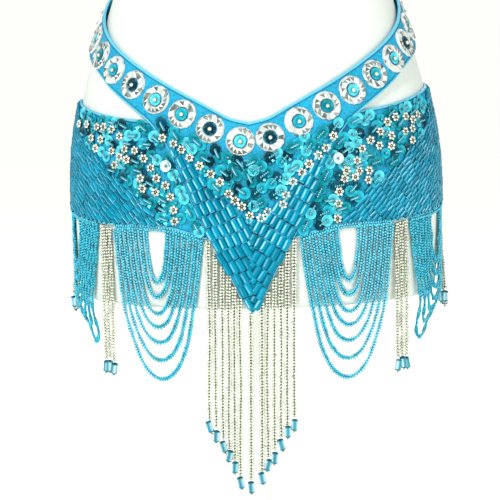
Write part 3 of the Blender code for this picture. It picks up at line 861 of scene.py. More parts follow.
def rosette_shape():
    """A flower of six round petals and a small middle bead on a disc painted dark as the shade between the
    petals, of unit diameter.
    """
    edit = bmesh.new()
    shade = edit.verts.layers.float.new("shade")
    for petal in range(6):
        place = (Matrix.Rotation(petal * math.tau / 6, 4, "Z") @ Matrix.Translation((0.32, 0, 0.12))
                 @ Matrix.Diagonal((0.18, 0.158, 0.15, 1.0)))
        bmesh.ops.create_icosphere(edit, subdivisions=2, radius=1.0, matrix=place)
    middle = Matrix.Translation((0, 0, 0.15)) @ Matrix.Diagonal((0.10, 0.10, 0.10, 1.0))
    bmesh.ops.create_icosphere(edit, subdivisions=1, radius=1.0, matrix=middle)
    bmesh.ops.create_cone(edit, segments=12, radius1=0.40, radius2=0.38, depth=0.08, cap_ends=True,
                          matrix=Matrix.Translation((0, 0, 0.04)))
    # painted shade on the disc and under the petals, and on the petals painted glints of differing strength
    for point in edit.verts:
        petal = round(math.atan2(point.co.y, point.co.x) / (math.tau / 6)) % 6
        inner = point.co.to_2d().length < 0.22
        low = 0.0 if point.co.z < 0.09 else 0.22
        glint = (1.0, 0.55, 0.95, 0.80, 0.40, 0.95)[petal]
        point[shade] = low if point.co.z < 0.15 else (0.30 if inner else glint)
    return small_shape("rosette", edit, sharp=60.0)


# ---- satin ----

# distance from the edge, raise of the cloth, share of the painted highlight on the rolled edge, light left
# under the painted shade of the topstitch groove
EDGE_ROLL_AND_PAINTED_LIGHT = (
    (0.0, -0.50, 0.6, 1.0), (0.25, 0.05, 0.8, 1.0), (0.8, 0.42, 0.8, 1.0),
    (1.5, 0.36, 0.6, 1.0), (2.1, 0.08, 0.1, 0.75), (2.4, -0.14, 0.0, 0.1),
    (2.8, -0.14, 0.0, 0.1), (3.2, 0.00, 0.0, 0.8), (5.0, 0.0, 0.0, 1.0),
)


def rolled_rows(height, middle_rows):
    """Shares of a piece's height for its rows, close together along both rolled edges."""
    edges = [min(row[0], 0.45 * height) for row in EDGE_ROLL_AND_PAINTED_LIGHT]
    middle = np.linspace(edges[-1], height - edges[-1], middle_rows + 1)[1:-1]
    return np.array(edges + list(middle) + [height - place for place in reversed(edges)]) / height


def cut_piece(name, start, end, columns, middle_rows, edges, layers, nodes):
    """A cut piece of satin as a closed thin shell, with rolled edges above and below that carry a painted
    highlight and, in the topstitch groove, painted shade.
    """
    low, high = edges
    count = 2 * len(EDGE_ROLL_AND_PAINTED_LIGHT) + middle_rows - 1
    pattern = bmesh.new()
    bmesh.ops.create_grid(pattern, x_segments=columns, y_segments=count - 1, size=0.5)
    bmesh.ops.extrude_face_region(pattern, geom=pattern.faces[:])
    uv = pattern.loops.layers.uv.new("cloth")
    tint = pattern.verts.layers.float.new("tint")
    shade = pattern.verts.layers.float.new("shade")
    pattern.verts.ensure_lookup_table()
    face_points = (columns + 1) * count
    roll_and_light = np.array(EDGE_ROLL_AND_PAINTED_LIGHT)
    flat = {}
    for index, point in enumerate(pattern.verts):
        angle = start + (point.co.x + 0.5) * (end - start)
        bottom, top = float(low(angle)), float(high(angle))
        row = int(round((point.co.y + 0.5) * (count - 1)))
        share = rolled_rows(top - bottom, middle_rows)[row]
        height = bottom + share * (top - bottom)
        inside = min(row, count - 1 - row)
        # the second value is the share of painted highlight on the rolled edge, the third the light left under
        # the painted shade of the topstitch groove
        raised, light, groove_shade = (roll_and_light[inside][1:] if inside < len(roll_and_light) else (0.0, 0.0, 1.0))
        outer = index >= face_points
        out = layers[1] + raised * MM if outer else layers[0]
        point[tint] = light
        point[shade] = groove_shade
        flat[point] = (float(angle_to_along(angle)) * MM, height * MM)
        point.co = on_form(angle, height, out)
    for face in pattern.faces:
        for corner in face.loops:
            corner[uv].uv = flat[corner.vert]
    bmesh.ops.recalc_face_normals(pattern, faces=pattern.faces)
    mesh = bpy.data.meshes.new(name)
    pattern.to_mesh(mesh)
    pattern.free()
    mesh.shade_smooth()
    mesh.set_sharp_from_angle(angle=math.radians(55.0))
    piece = finished(name, mesh, satin_finish(), nodes)
    angles = np.linspace(start, end, 200)
    heights = np.stack((low(angles), high(angles))) * MM
    alongs = angle_to_along(angles) * MM
    rise = np.polyfit(alongs, heights.mean(axis=0), 1)[0]
    return piece


def stitch_shape():
    edit = bmesh.new()
    bmesh.ops.create_cone(edit, segments=4, radius1=0.5, radius2=0.5, depth=1.0, cap_ends=True)
    bmesh.ops.rotate(edit, verts=edit.verts, matrix=Matrix.Rotation(math.pi / 2, 3, "Y"))
    return small_shape("stitch", edit)


def stitched_line(edge, inset, start, end, out, rng):
    """Places and tints of a row of stitches beside a cloth edge."""
    length = bpy.context.scene.belt_sizes.stitch
    pitch = 1.35 * length / MM
    alongs = np.arange(angle_to_along(start) + pitch, angle_to_along(end) - pitch, pitch * 0.5)
    angles = along_to_angle(alongs)
    heights = edge(angles) + inset
    travelled = np.concatenate(([0.0], np.cumsum(np.hypot(np.diff(alongs), np.diff(heights)))))
    even = np.arange(0.0, travelled[-1], pitch)
    alongs, heights = np.interp(even, travelled, alongs), np.interp(even, travelled, heights)
    slopes = np.degrees(np.arctan2(np.gradient(heights), np.gradient(alongs)))
    places = [surface_place(float(along_to_angle(along)), height, out, slope,
                            size=(length, 0.0005, 0.0005))
              for along, height, slope in zip(alongs, heights, slopes)]
    return places, [rng.random() for _ in places]


# ---- rings ----


def ring_angles(side):
    """Angles of the rings' centres, a pitch apart along the middle of the strap."""
    angles = np.arange(0.0, STRAP_SEAM + 20.0, 0.1)
    middle = strap_top(angles) - RING_DROP
    runs = 0.1 * metres_per_degree(angles, middle)
    rises = np.gradient(strap_top(angles), angles) * 0.1 * MM
    travelled = np.cumsum(np.hypot(runs, rises))
    wanted = RING_FIRST[side] + RING_PITCH * np.arange(RING_COUNT_PER_SIDE)
    return np.interp(wanted, travelled, angles)


def make_rings():
    """Clear faceted rings with facets painted dark or grey at random as painted reflections, most often the
    inward ones on top.
    """
    radius = 0.5 * bpy.context.scene.belt_sizes.ring
    profile = ((0.475, 0.0), (0.490, 0.0012), (0.56, 0.0022), (0.88, 0.0024), (0.975, 0.0011),
               (1.0, 0.0))
    rng = random.Random(11)
    rings = bmesh.new()
    tint = rings.faces.layers.float.new("tint")
    shade = rings.faces.layers.float.new("shade")
    names = []
    half_step = math.tau / RING_SEGMENTS / 2
    for side, sign in SIDES:
        for number, angle in enumerate(ring_angles(side), start=1):
            names.append(f"ring_{side}_{number}")
            points = [rings.verts.new((share * radius, 0.0, up)) for share, up in profile]
            edges = [rings.edges.new((points[i], points[(i + 1) % len(points)]))
                     for i in range(len(points))]
            before = set(rings.verts) - set(points)
            bmesh.ops.spin(rings, geom=points + edges, cent=(0, 0, 0), axis=(0, 0, 1),
                           angle=math.tau, steps=RING_SEGMENTS, use_merge=True)
            made = [point for point in rings.verts if point not in before]
            table = [point for point in made if point.co.z > 0.0015]
            bmesh.ops.rotate(rings, verts=table, matrix=Matrix.Rotation(half_step, 3, "Z"))
            faces = list({face for point in made for face in point.link_faces})
            bmesh.ops.recalc_face_normals(rings, faces=faces)
            cut = bmesh.ops.triangulate(rings, faces=faces, quad_method="FIXED")["faces"]
            for face in cut:
                middle = face.calc_center_median()
                share = middle.to_2d().length / radius
                on_table = middle.z > 0.0021
                inwards = sum(point.co.to_2d().length > 0.8 * radius for point in face.verts) == 2
                # painted reflections: dark facets, most often the inward-pointing ones on the top, some on the
                # outer edge, and grey ones near the hole
                dark_reflection_chance = (0.60 if inwards else 0.14) if on_table else (0.14 if share > 0.86 else 0.0)
                face[tint] = rng.uniform(0.62, 1.0)
                if rng.random() < dark_reflection_chance:
                    face[tint] = rng.uniform(0.0, 0.34)
                elif share < 0.60 and rng.random() < 0.3:
                    face[tint] = rng.uniform(0.35, 0.60)
                face[shade] = 1.0
            lay_flat(made, sign * angle, float(strap_top(angle)) - RING_DROP, YOKE_OUTER + SEAM_GAP)
    mesh = bpy.data.meshes.new("rings")
    rings.to_mesh(mesh)
    rings.free()
    finished("faceted_rings", mesh, ring_finish(), names)


def lay_flat(points, angle, height, out):
    """Lays points given in metres about a centre onto the form's curve."""
    for point in points:
        along, up, raised = point.co
        point_height = height + up / MM
        point_angle = angle + along / float(metres_per_degree(angle, point_height))
        point.co = on_form(point_angle, point_height, out + raised)


def make_ring_centres():
    """A cup sequin and a silver bead in the middle of each ring."""
    sizes = bpy.context.scene.belt_sizes
    rng = random.Random(5)
    cups, cup_painted_reflections, beads = [], [], []
    # shares that pick each ring sequin's painted reflection, from dark to light
    order = (0.9, 0.15, 0.5, 0.88, 0.1, 0.7, 0.3, 0.92, 0.5)
    for side, sign in SIDES:
        for number, angle in enumerate(ring_angles(side)):
            height = float(strap_top(angle)) - RING_DROP
            width = sizes.centre_sequin
            cups.append(surface_place(sign * angle, height, YOKE_OUTER + SEAM_GAP,
                                      rng.uniform(0, 60), size=(width, width, width)))
            cup_painted_reflections.append(order[(number + (4 if sign > 0 else 0)) % len(order)])
            beads.append(surface_place(sign * angle, height, YOKE_OUTER + 0.0024, size=(0.0040,) * 3))
    mesh = joined_copies("ring_sequins", [(sequin_shape(), cups, cup_painted_reflections)])
    finished("ring_sequins", mesh, sequin_finish())
    tints = [rng.uniform(0.6, 1.0) for _ in beads]
    mesh = joined_copies("ring_beads", [(seed_bead_shape(), beads, tints)])
    finished("ring_beads", mesh, silver_finish())


# ---- sequins, rosettes and bugle beads ----


def in_centre_sequins(along, height):
    angle = along_to_angle(along)
    return ((np.abs(angle) < 27.5) & (height > CENTRE_LINE_EDGE.at(np.abs(angle)) + 1.0)
            & (height < strap_top(angle) - RING_DROP - 14.5))


def in_centre_bugles(along, height):
    angle = along_to_angle(along)
    return ((height > yoke_low(angle) + 0.4) & (np.abs(angle) < 28.5)
            & (height < CENTRE_LINE_EDGE.at(np.abs(angle)) - 2.5))


def in_panel(along, height, inset):
    angle = along_to_angle(along)
    return ((height > panel_hem(angle) + inset) & (np.abs(angle) > 14.0)
            & (np.abs(angle) < PANEL_SEAM - 0.8)
            & (height < np.minimum(panel_top(angle), yoke_low(angle) - 0.5) - inset))


def from_yoke_edge(angle, height):
    """Distance in millimetres from the yoke's lower edge, below it positive."""
    slope = (yoke_low(np.abs(angle) + 0.5) - yoke_low(np.abs(angle) - 0.5)) * MM
    slope = slope / metres_per_degree(angle, height)
    return (yoke_low(angle) - height) / np.hypot(1.0, slope)


def satin_out(angle, height):
    """How far out a sequin lies, which rises from the hip panel over the yoke's edge."""
    share = np.clip((6.0 - from_yoke_edge(angle, height)) / 4.5, 0.0, 1.0)
    return PANEL_OUTER + float(share) * (YOKE_OUTER - PANEL_OUTER)


def in_panel_sequins(along, height):
    angle = np.abs(along_to_angle(along))
    within = (height > panel_hem(angle) + 2.8) & (height < panel_top(along_to_angle(along)) - 3.4)
    within &= from_yoke_edge(angle, height) > 1.2
    return within & (height > PANEL_LINE_EDGE.at(angle)) & (angle < 79.0) & (angle > 14.5)


def in_panel_bugles(along, height):
    angle = np.abs(along_to_angle(along))
    return in_panel(along, height, 1.5) & ((height < PANEL_LINE_EDGE.at(angle) - 1.0) | (angle > 79.0))


# shades of a bugle bead's painted highlight streak and painted rim light, for four kinds of bead
YOKE_HIGHLIGHTS = ((0.58, 0.56), (0.72, 0.60), (0.90, 0.62), (1.0, 0.78))
PANEL_HIGHLIGHTS = ((0.50, 0.52), (0.57, 0.56), (0.70, 0.66), (0.92, 0.95))


def bugle_rows(inside, direction, alongs, heights, out, scale, overlap, jitter, rng):
    """Bugle beads side by side in bands across a region. direction, in degrees, is theirs."""
    sizes = bpy.context.scene.belt_sizes
    length = scale * sizes.bugle / MM
    pitch = 0.95 * scale * sizes.bugle_width / MM
    turn = math.radians(direction)
    along_bead = np.array((math.cos(turn), math.sin(turn)))
    across = np.array((-math.sin(turn), math.cos(turn)))
    middle = np.array((sum(alongs) / 2, sum(heights) / 2))
    reach = math.hypot(alongs[1] - alongs[0], heights[1] - heights[0]) / 2 + length
    laid, tints = [], []
    steps = np.arange(0.0, length, 0.4)
    for band in np.arange(-reach, reach, length):
        swing = rng.uniform(0.0, math.tau)
        for offset in np.arange(rng.uniform(0.0, pitch) - reach, reach, pitch):
            wave = 2.2 * math.sin(offset / 15.0) + 0.7 * math.sin(offset / 4.6 + swing)
            spots = band + wave + steps
            line = middle + offset * across + spots[:, None] * along_bead
            within = (line[:, 0] > alongs[0]) & (line[:, 0] < alongs[1])
            for edge in (-0.12 * pitch, 0.12 * pitch):
                sides = line + edge * across
                within &= inside(sides[:, 0], sides[:, 1])
            covered = spots[within]
            if len(covered) * 0.4 < 2.4:
                continue
            low, high = covered[0], covered[-1] + 0.4
            shift = rng.uniform(-0.25, 0.25) * jitter
            centre = middle + offset * across + (0.5 * (low + high) + shift) * along_bead
            width = scale * sizes.bugle_width * rng.uniform(0.93, 1.02)
            laid.append(surface_place(float(along_to_angle(centre[0])), float(centre[1]),
                                      out + 0.3 * width, direction + rng.uniform(-3.5, 3.5) * jitter,
                                      rng.uniform(-2.5, 2.5) * jitter,
                                      ((high - low + overlap) * MM, width, width)))
            tints.append(min(1.0, max(0.0, rng.gauss(0.5, 0.24))))
    return laid, tints


def bugle_mix(places, tints, highlights, rng):
    """Bugle beads of four kinds, by the painted highlights of their streak and rim: the weakest within 46 mm
    below the hip line, strong ones lower down.
    """
    places, tints = np.array(places), np.array(tints)
    choices = [(2, 3) if place[2, 3] < HIP_LINE - 0.046 else
               (0, 0, 1) if place[2, 3] < HIP_LINE else (1, 2, 2, 2, 3) for place in places]
    picks = np.array([rng.choice(kinds) for kinds in choices])
    return [(bugle_shape(*shades), places[picks == kind], tints[picks == kind])
            for kind, shades in enumerate(highlights)]


def make_bugles():
    """Bugle beads on the hip panels and the point of the yoke."""
    rng = random.Random(23)
    tip = float(angle_to_along(28.5))
    left = bugle_rows(in_centre_bugles, -62.0, (-tip, 0.0), (-60.0, 105.0), YOKE_OUTER, 1.0,
                      0.1, 1.2, rng)
    right = bugle_rows(in_centre_bugles, -120.0, (0.0, tip), (-60.0, 105.0), YOKE_OUTER, 1.0,
                      0.1, 1.2, rng)
    mesh = joined_copies("yoke_bugles", bugle_mix(left[0] + right[0], left[1] + right[1],
                                                    YOKE_HIGHLIGHTS, rng))
    finished("yoke_bugles", mesh, bugle_finish())
    for side, sign in SIDES:
        near, far = angle_to_along(14.0), angle_to_along(PANEL_SEAM)
        alongs = sorted((float(sign * near), float(sign * far)))
        direction = -41.0 if sign < 0 else -139.0
        rows = bugle_rows(in_panel_bugles, direction, alongs, (5.0, 130.0), PANEL_OUTER, 0.70,
                          0.9, 2.4, rng)
        mesh = joined_copies(f"panel_bugles_{side}", bugle_mix(*rows, PANEL_HIGHLIGHTS, rng))
        finished(f"panel_bugles_{side}", mesh, bugle_finish())


def glint_spot(sign):
    angle, height = GLINTS[sign > 0]
    return np.array((float(angle_to_along(angle)), height))


def is_glint(spot):
    return any(math.dist(spot, glint_spot(sign)) < 0.1 for _, sign in SIDES)


def edge_pairs(sign):
    """A sequin painted white as a glint, then pairs laid end to end beside the yoke's point, on the hip panel.
    """
    spot = glint_spot(sign)
    pairs = [(spot, 0.0, np.zeros(2), [spot])]
    turn = -62.0 if sign < 0 else 62.0
    run = np.array((math.cos(math.radians(turn)), math.sin(math.radians(turn))))
    for angle in np.arange(15.6, 26.0, 0.1):
        height = float(yoke_low(angle))
        while from_yoke_edge(angle, height) < 4.2:
            height -= 0.2
        centre = np.array((float(angle_to_along(sign * angle)), height))
        if math.dist(centre, pairs[-1][0]) > 15.0:
            step = 3.8 * run
            pairs.append((centre, turn, step, [centre - step, centre + step]))
    return pairs


def scattered(inside, alongs, heights, lean, keep_off, first, rng):
    """Centres of sequins: pairs, then single ones where there is room. first are laid already."""
    found = list(first)
    taken = [spot for *_, spots in first for spot in spots]

    def clear(spot, others, room):
        return all(math.dist(spot, other) > room for other in others)

    for tries, half_gap, room in ((2600, 3.8, 6.9), (900, 0.0, 7.2)):
        for _ in range(tries):
            centre = np.array((rng.uniform(*alongs), rng.uniform(*heights)))
            turn = lean + rng.uniform(-20.0, 20.0)
            step = half_gap * np.array((math.cos(math.radians(turn)), math.sin(math.radians(turn))))
            spots = [centre - step, centre + step] if half_gap else [centre]
            if all(inside(*spot) and clear(spot, taken, room) and clear(spot, keep_off, 5.0)
                   for spot in spots):
                taken += spots
                found.append((centre, turn, step, spots))
    return found


def sequin_field(inside, alongs, heights, lean, out, keep_off, first_pairs, rng):
    """Scattered sequins, each pair bridged by a bugle bead or by small beads.

    out is None on a hip panel, where the sequins run over the yoke's edge.
    """
    sizes = bpy.context.scene.belt_sizes
    cups, cup_painted_reflections, bugles, bugle_tints, seeds, seed_tints = [], [], [], [], [], []
    for centre, turn, step, spots in scattered(inside, alongs, heights, lean, keep_off,
                                               first_pairs, rng):
        first = rng.choice((1, -1))
        for number, spot in enumerate(spots[::first]):
            width = sizes.sequin * rng.uniform(0.93, 1.04)
            spot_out = out or satin_out(float(along_to_angle(spot[0])), float(spot[1]))
            cups.append(surface_place(float(along_to_angle(spot[0])), float(spot[1]),
                                      spot_out + (0.0036 if is_glint(spot) else
                                                  0.0003 + 0.0006 * number), turn,
                                      rng.uniform(1.0, 7.0) * first * (1 if number else -1),
                                      (width, width, width)))
            # each share picks a sequin's painted reflection, light more often on the right; a glint sequin
            # takes the painted white
            share = 0.97 * rng.random() ** (1.0 if spot[0] < 0 else 0.62)
            cup_painted_reflections.append(1.0 if is_glint(spot) else share)
        angle = float(along_to_angle(centre[0]))
        top = out or satin_out(angle, float(centre[1]))
        if len(spots) < 2:
            seeds.append(surface_place(angle, float(centre[1]), top + 0.0022, turn, 0.0,
                                       (0.0022,) * 3))
            seed_tints.append(rng.uniform(0.6, 1.0))
        elif lean < 0 or rng.random() < 0.35:
            bugles.append(surface_place(angle, float(centre[1]), top + 0.0032, turn, 0.0,
                                        (0.0088, 0.0021, 0.0021)))
            bugle_tints.append(rng.uniform(0.55, 1.0))
        else:
            for share in (-0.95, -0.48, 0.0, 0.48, 0.95):
                spot = centre + share * step
                seeds.append(surface_place(float(along_to_angle(spot[0])), float(spot[1]),
                                           top + 0.0032, turn, 0.0, (0.0019,) * 3))
                seed_tints.append(rng.uniform(0.6, 1.0))
    return (cups, cup_painted_reflections), (bugles, bugle_tints), (seeds, seed_tints)


def make_sequins():
    """Cup sequins in pairs inside the rosette border and over the hip panels."""
    rng = random.Random(41)
    flat = {side: [(float(angle_to_along(angle)), height) for angle, height in rows]
            for side, rows in (("centre", CENTRE_ROSETTES), ("left", LEFT_ROSETTES),
                               ("right", RIGHT_ROSETTES))}
    tip = float(angle_to_along(27.5))
    near, far = float(angle_to_along(14.5)), float(angle_to_along(79.0))
    fields = (
        ("yoke_sequins", in_centre_sequins, [((-tip, 0.0), -48.0), ((0.0, tip), 44.0)],
         (26.0, 112.0), YOKE_OUTER, flat["centre"], ()),
        ("panel_sequins_left", in_panel_sequins, [((-far, -near), -18.0)], (16.0, 122.0),
         None, flat["left"], edge_pairs(-1.0)),
        ("panel_sequins_right", in_panel_sequins, [((near, far), 24.0)], (16.0, 122.0),
         None, flat["right"], edge_pairs(1.0)),
    )
    for name, inside, strips, heights, out, keep_off, first in fields:
        sets = [sequin_field(inside, alongs, heights, lean, out, keep_off, first, rng)
                for alongs, lean in strips]
        cups = [(sequin_shape(), *found[0]) for found in sets]
        finished(name, joined_copies(name, cups), sequin_finish())
        # bridging bugles carry the full painted highlight streak
        bridges = [(bugle_shape(1.0), *found[1]) for found in sets]
        bridges += [(seed_bead_shape(), *found[2]) for found in sets]
        finished(f"{name}_bridges", joined_copies(f"{name}_bridges", bridges), tube_finish())


def make_rosettes():
    """Silver rosettes: a border round the yoke's point and a scatter on each hip panel."""
    rng = random.Random(3)
    width = bpy.context.scene.belt_sizes.rosette
    for name, rows, out in (("yoke_rosettes", CENTRE_ROSETTES, YOKE_OUTER),
                            ("panel_rosettes_left", LEFT_ROSETTES, PANEL_OUTER),
                            ("panel_rosettes_right", RIGHT_ROSETTES, PANEL_OUTER)):
        places = [surface_place(angle, height,
                                max(out, satin_out(angle, height)) + 0.0016, rng.uniform(0, 60),
                                rng.uniform(-6, 6), (width * rng.uniform(0.95, 1.05),) * 3)
                  for angle, height in rows]
        tints = [rng.uniform(0.35, 1.0) for _ in places]
        mesh = joined_copies(name, [(rosette_shape(), places, tints)])
        finished(name, mesh, silver_finish())


# ---- fringe ----


def catenary(start, end, foot, steps=90):
    """A chain's curve between two points through its lowest height, all in millimetres."""
    drops = (start[1] - foot, end[1] - foot)
    span = end[0] - start[0]
    smallest, largest = 0.01, 1000.0
    for _ in range(60):
        size = 0.5 * (smallest + largest)
        if sum(size * math.acosh(1.0 + drop / size) for drop in drops) > span:
            largest = size
        else:
            smallest = size
    middle = start[0] + size * math.acosh(1.0 + drops[0] / size)
    runs = [math.sqrt((drop + size) ** 2 - size * size) for drop in drops]
    share = np.linspace(-1.0, 1.0, steps)
    run = np.sign(share) * np.abs(share) ** 1.5 * np.where(share > 0, runs[1], runs[0])
    return middle + size * np.arcsinh(run / size), foot + np.sqrt(size * size + run * run) - size


def swag_line(legs, spread, pull, along, height, out):
    """Points of a swag: on the form's face above, and drawn in between its legs below it."""
    share = along / spread
    angle = legs[0] + share * (legs[1] - legs[0])
    bent = on_form(angle, height, out, level=panel_hem(angle))
    first = on_form(legs[0], height, out, level=panel_hem(legs[0]))
    last = on_form(legs[1], height, out, level=panel_hem(legs[1]))
    free = np.clip((FREE_TOP - height) / (FREE_TOP - FREE_BOTTOM), 0.0, 1.0)
    free = (pull * free * free * (3.0 - 2.0 * free))[:, None]
    chord = first + (last - first) * share[:, None]
    return bent + (chord - bent) * free


def thread_shape(depth):
    """A stretch of thread of unit length and diameter along x. depth is how dark it is painted, as the shade
    seen between the beads.
    """
    edit = bmesh.new()
    shade = edit.verts.layers.float.new("shade")
    bmesh.ops.create_cone(edit, segments=4, radius1=0.5, radius2=0.5, depth=1.0, cap_ends=True)
    bmesh.ops.rotate(edit, verts=edit.verts, matrix=Matrix.Rotation(math.pi / 2, 3, "Y"))
    for point in edit.verts:
        point[shade] = depth
    return small_shape("thread", edit)


def bead_rope(line, outer, bead, turn_length, stagger, rng):
    """Places of two rows of beads wound round each other along a line, and of their thread.

    outer is the same line moved outwards, which gives the side that faces out. stagger is how
    far, in beads, the second row runs ahead of the first.
    """
    lengths = np.concatenate(([0.0], np.cumsum(np.linalg.norm(np.diff(line, axis=0), axis=1))))
    places, threads = [], []
    phase, start = rng.uniform(0.0, math.tau), rng.uniform(0.3, 1.3)
    gap = bead * rng.uniform(0.97, 1.04)
    for row in range(2):
        stops = np.arange(start * bead + stagger * row * gap, lengths[-1] - 0.3 * bead, gap)
        for stop in stops:
            here, ahead, behind, facing = (
                Vector([np.interp(at, lengths, source[:, axis]) for axis in range(3)])
                for at, source in ((stop, line), (stop + bead, line), (stop - bead, line),
                                   (stop, outer)))
            along = (ahead - behind).normalized()
            out = facing - here
            out = (out - along * out.dot(along)).normalized()
            side = out.cross(along)
            wave = phase + math.tau * stop / turn_length
            turn = 0.5 * math.sin(wave) + math.pi * row
            away = side * math.cos(turn) + out * math.sin(turn)
            place = Matrix((along, side, out)).transposed().to_4x4()
            place.translation = here - out * (0.26 * bead)
            if not row:
                threads.append(np.array(place @ Matrix.Diagonal((gap, 0.6 * bead, 0.4 * bead, 1))))
            place.translation = here + away * (0.47 * bead) + side * rng.uniform(-0.07, 0.07) * bead
            size = bead * rng.uniform(0.94, 1.04)
            places.append(np.array(place @ Matrix.Diagonal((0.97 * size, 1.12 * size, size, 1.0))))
    return places, threads


def rope_tints(count, rng):
    return [min(1.0, max(0.0, rng.gauss(0.62, 0.30))) for _ in range(count)]


def make_swags():
    """Nested swags: each a rope of two rows of blue seed beads hung from the hem."""
    bead = bpy.context.scene.belt_sizes.seed
    shape = seed_bead_shape()
    for group, rows, pull in (("front", FRONT_SWAGS, FRONT_PULL), ("side", SIDE_SWAGS, SIDE_PULL)):
        for side, sign in SIDES:
            rng = random.Random(f"{group} {side}")
            places, threads = [], []
            for near, far, foot in rows:
                legs = tuple(sorted((sign * near, sign * far)))
                angles = np.linspace(legs[0], legs[1], 21)
                middles = 0.5 * (angles[1:] + angles[:-1])
                spread = float(np.sum(np.diff(angles)
                                      * metres_per_degree(middles, panel_hem(middles)))) / MM
                ends = [(0.0, float(panel_hem(legs[0])) - 0.2),
                        (spread, float(panel_hem(legs[1])) - 0.2)]
                along, height = catenary(*ends, foot)
                line = swag_line(legs, spread, pull, along, height, ROPE_OUT)
                outer = swag_line(legs, spread, pull, along, height, ROPE_OUT + 0.001)
                rope = bead_rope(line, outer, bead, 0.021, 0.5, rng)
                places += rope[0]
                threads += rope[1]
            hem = np.linspace(*sorted((sign * (rows[-1][0] - 0.7), sign * (rows[-1][1] + 0.7))), 60)
            line = on_form(hem, panel_hem(hem) - 1.2, 0.0028)
            outer = on_form(hem, panel_hem(hem) - 1.2, 0.0038)
            places += bead_rope(line, outer, bead, 0.5, 0.5, rng)[0]
            name = f"bead_swags_{group}_{side}"
            mesh = joined_copies(name, [(shape, places, rope_tints(len(places), rng)),
                                        (thread_shape(0.40), threads, [0.5] * len(threads))])
            finished(name, mesh, seed_finish(), [f"swags_{group}_{side}"])


def make_strands():
    """Silver strands, each with a tube bead and a small bead at its foot."""
    sizes = bpy.context.scene.belt_sizes
    shape, tube, stretched = seed_bead_shape(), tube_bead_shape(), []
    groups = [("fringe_centre", CENTRE_STRANDS, 1.0, yoke_low, YOKE_INNER + 0.0018, CENTRE_LEAN)]
    for side, sign in SIDES:
        groups.append((f"strands_side_{side}", SIDE_STRANDS, sign, panel_hem, STRAND_OUT, 0.0))
        groups.append((f"strands_rear_{side}", REAR_STRANDS, sign, panel_hem, STRAND_OUT, 0.0))
    for node, rows, sign, edge, out, lean in groups:
        rng = random.Random(node)
        swing = REAR_SWING if "rear" in node else 0.0
        beads, threads, tubes = [], [], []
        for number, (angle, bead_top) in enumerate(rows):
            angle *= sign
            level = float(edge(angle))
            heights = np.linspace(level - 0.4, bead_top + 0.4, 40)
            share = (level - heights) / (level - bead_top)
            sway = rng.uniform(-0.32, 0.32) * np.sin(math.pi * share)
            sway += rng.uniform(-0.16, 0.16) * np.sin(3.0 * math.pi * share)
            angles = angle + lean * share + sway
            away = out + swing * share
            line = on_form(angles, heights, away, level=np.full(40, level))
            outer = on_form(angles, heights, away + 0.001, level=np.full(40, level))
            rope = bead_rope(line, outer, 1.06 * sizes.seed, rng.uniform(0.018, 0.026), 0.0,
                             rng)
            beads += rope[0]
            threads += rope[1]
            depth = out + swing + (0.0006 if number % 2 else -0.0002)
            foot = angle + lean
            middle = bead_top - 0.5 * sizes.tube / MM
            slant = -90.0 + rng.uniform(-17.0, 17.0)
            tubes.append(surface_place(foot, middle, depth, slant, 0.0,
                                       (sizes.tube, sizes.tube_width, sizes.tube_width), level))
            beads.append(surface_place(foot + math.cos(math.radians(slant)) * 2.0,
                                       bead_top - sizes.tube / MM - 1.3, depth, -90.0, 0.0,
                                       (0.0026, 0.0028, 0.0028), level))
        tints = [min(1.0, max(0.0, rng.gauss(0.72, 0.16))) for _ in beads]
        mesh = joined_copies(f"silver_{node}", [(shape, beads, tints),
                                                (thread_shape(0.08), threads,
                                                 [0.5] * len(threads))])
        finished(f"silver_{node}", mesh, silver_finish(), [node])
        stretched.append((tube, tubes, [rng.random() for _ in tubes]))
    finished("tube_beads", joined_copies("tube_beads", stretched), tube_finish())


# ---- form and stand ----


def make_form():
    """The smooth closed form, drawn up ring by ring from its foot."""
    segments = 96
    turns = [quarter * math.pi / 12 for quarter in range(7)]
    rings = [(FORM_FOOT + FORM_EDGE * (1 - math.sin(turn)), FORM_EDGE * (1 - math.cos(turn)))
             for turn in reversed(turns)]
    rings += [(height, 0.0) for height in np.linspace(FORM_FOOT + FORM_EDGE, FORM_TOP, 40)[1:]]
    depth = float(HALF_DEPTH.at(FORM_TOP))
    rings += [(FORM_TOP + CAP_HEIGHT * math.sin(turn), depth * (1 - math.cos(turn)))
              for turn in turns[1:-1]]
    angles = np.arange(segments) * 360.0 / segments
    form = bmesh.new()
    loop = bmesh.ops.create_circle(form, cap_ends=True, segments=segments, radius=1.0)["verts"]
    edges = [edge for edge in form.edges]
    for number, (height, inset) in enumerate(rings):
        if number:
            made = bmesh.ops.extrude_edge_only(form, edges=edges)["geom"]
            edges = [item for item in made if isinstance(item, bmesh.types.BMEdge)
                     and len(item.link_faces) == 1]
            loop = ordered_loop(edges)
        places = on_form(angles, height, -inset * MM)
        for point, place in zip(loop, places):
            point.co = place
    bmesh.ops.holes_fill(form, edges=edges)
    bmesh.ops.recalc_face_normals(form, faces=form.faces)
    mesh = small_shape("form", form, sharp=50.0)
    finished("hip_form_shell", mesh, form_shell_finish(), ["hip_form"])


def ordered_loop(edges):
    """The points of a closed run of edges in order, from the one placed first."""
    by_index = {}
    for edge in edges:
        for point in edge.verts:
            by_index[point] = math.atan2(point.co.x, -point.co.y) % math.tau
    return sorted(by_index, key=lambda point: round(by_index[point], 5) % round(math.tau, 5))


def turned_piece(name, profile, finish, node):
    """A piece turned about the centre line from its radius and height profile."""
    edit = bmesh.new()
    points = [edit.verts.new((radius, 0.0, height)) for radius, height in profile]
    edges = [edit.edges.new(pair) for pair in zip(points, points[1:])]
    bmesh.ops.spin(edit, geom=points + edges, cent=(0, 0, 0), axis=(0, 0, 1), angle=math.tau,
                   steps=96, use_merge=True)
    bmesh.ops.remove_doubles(edit, verts=edit.verts, dist=0.00001)
    finished(name, small_shape(name, edit), finish, [node])


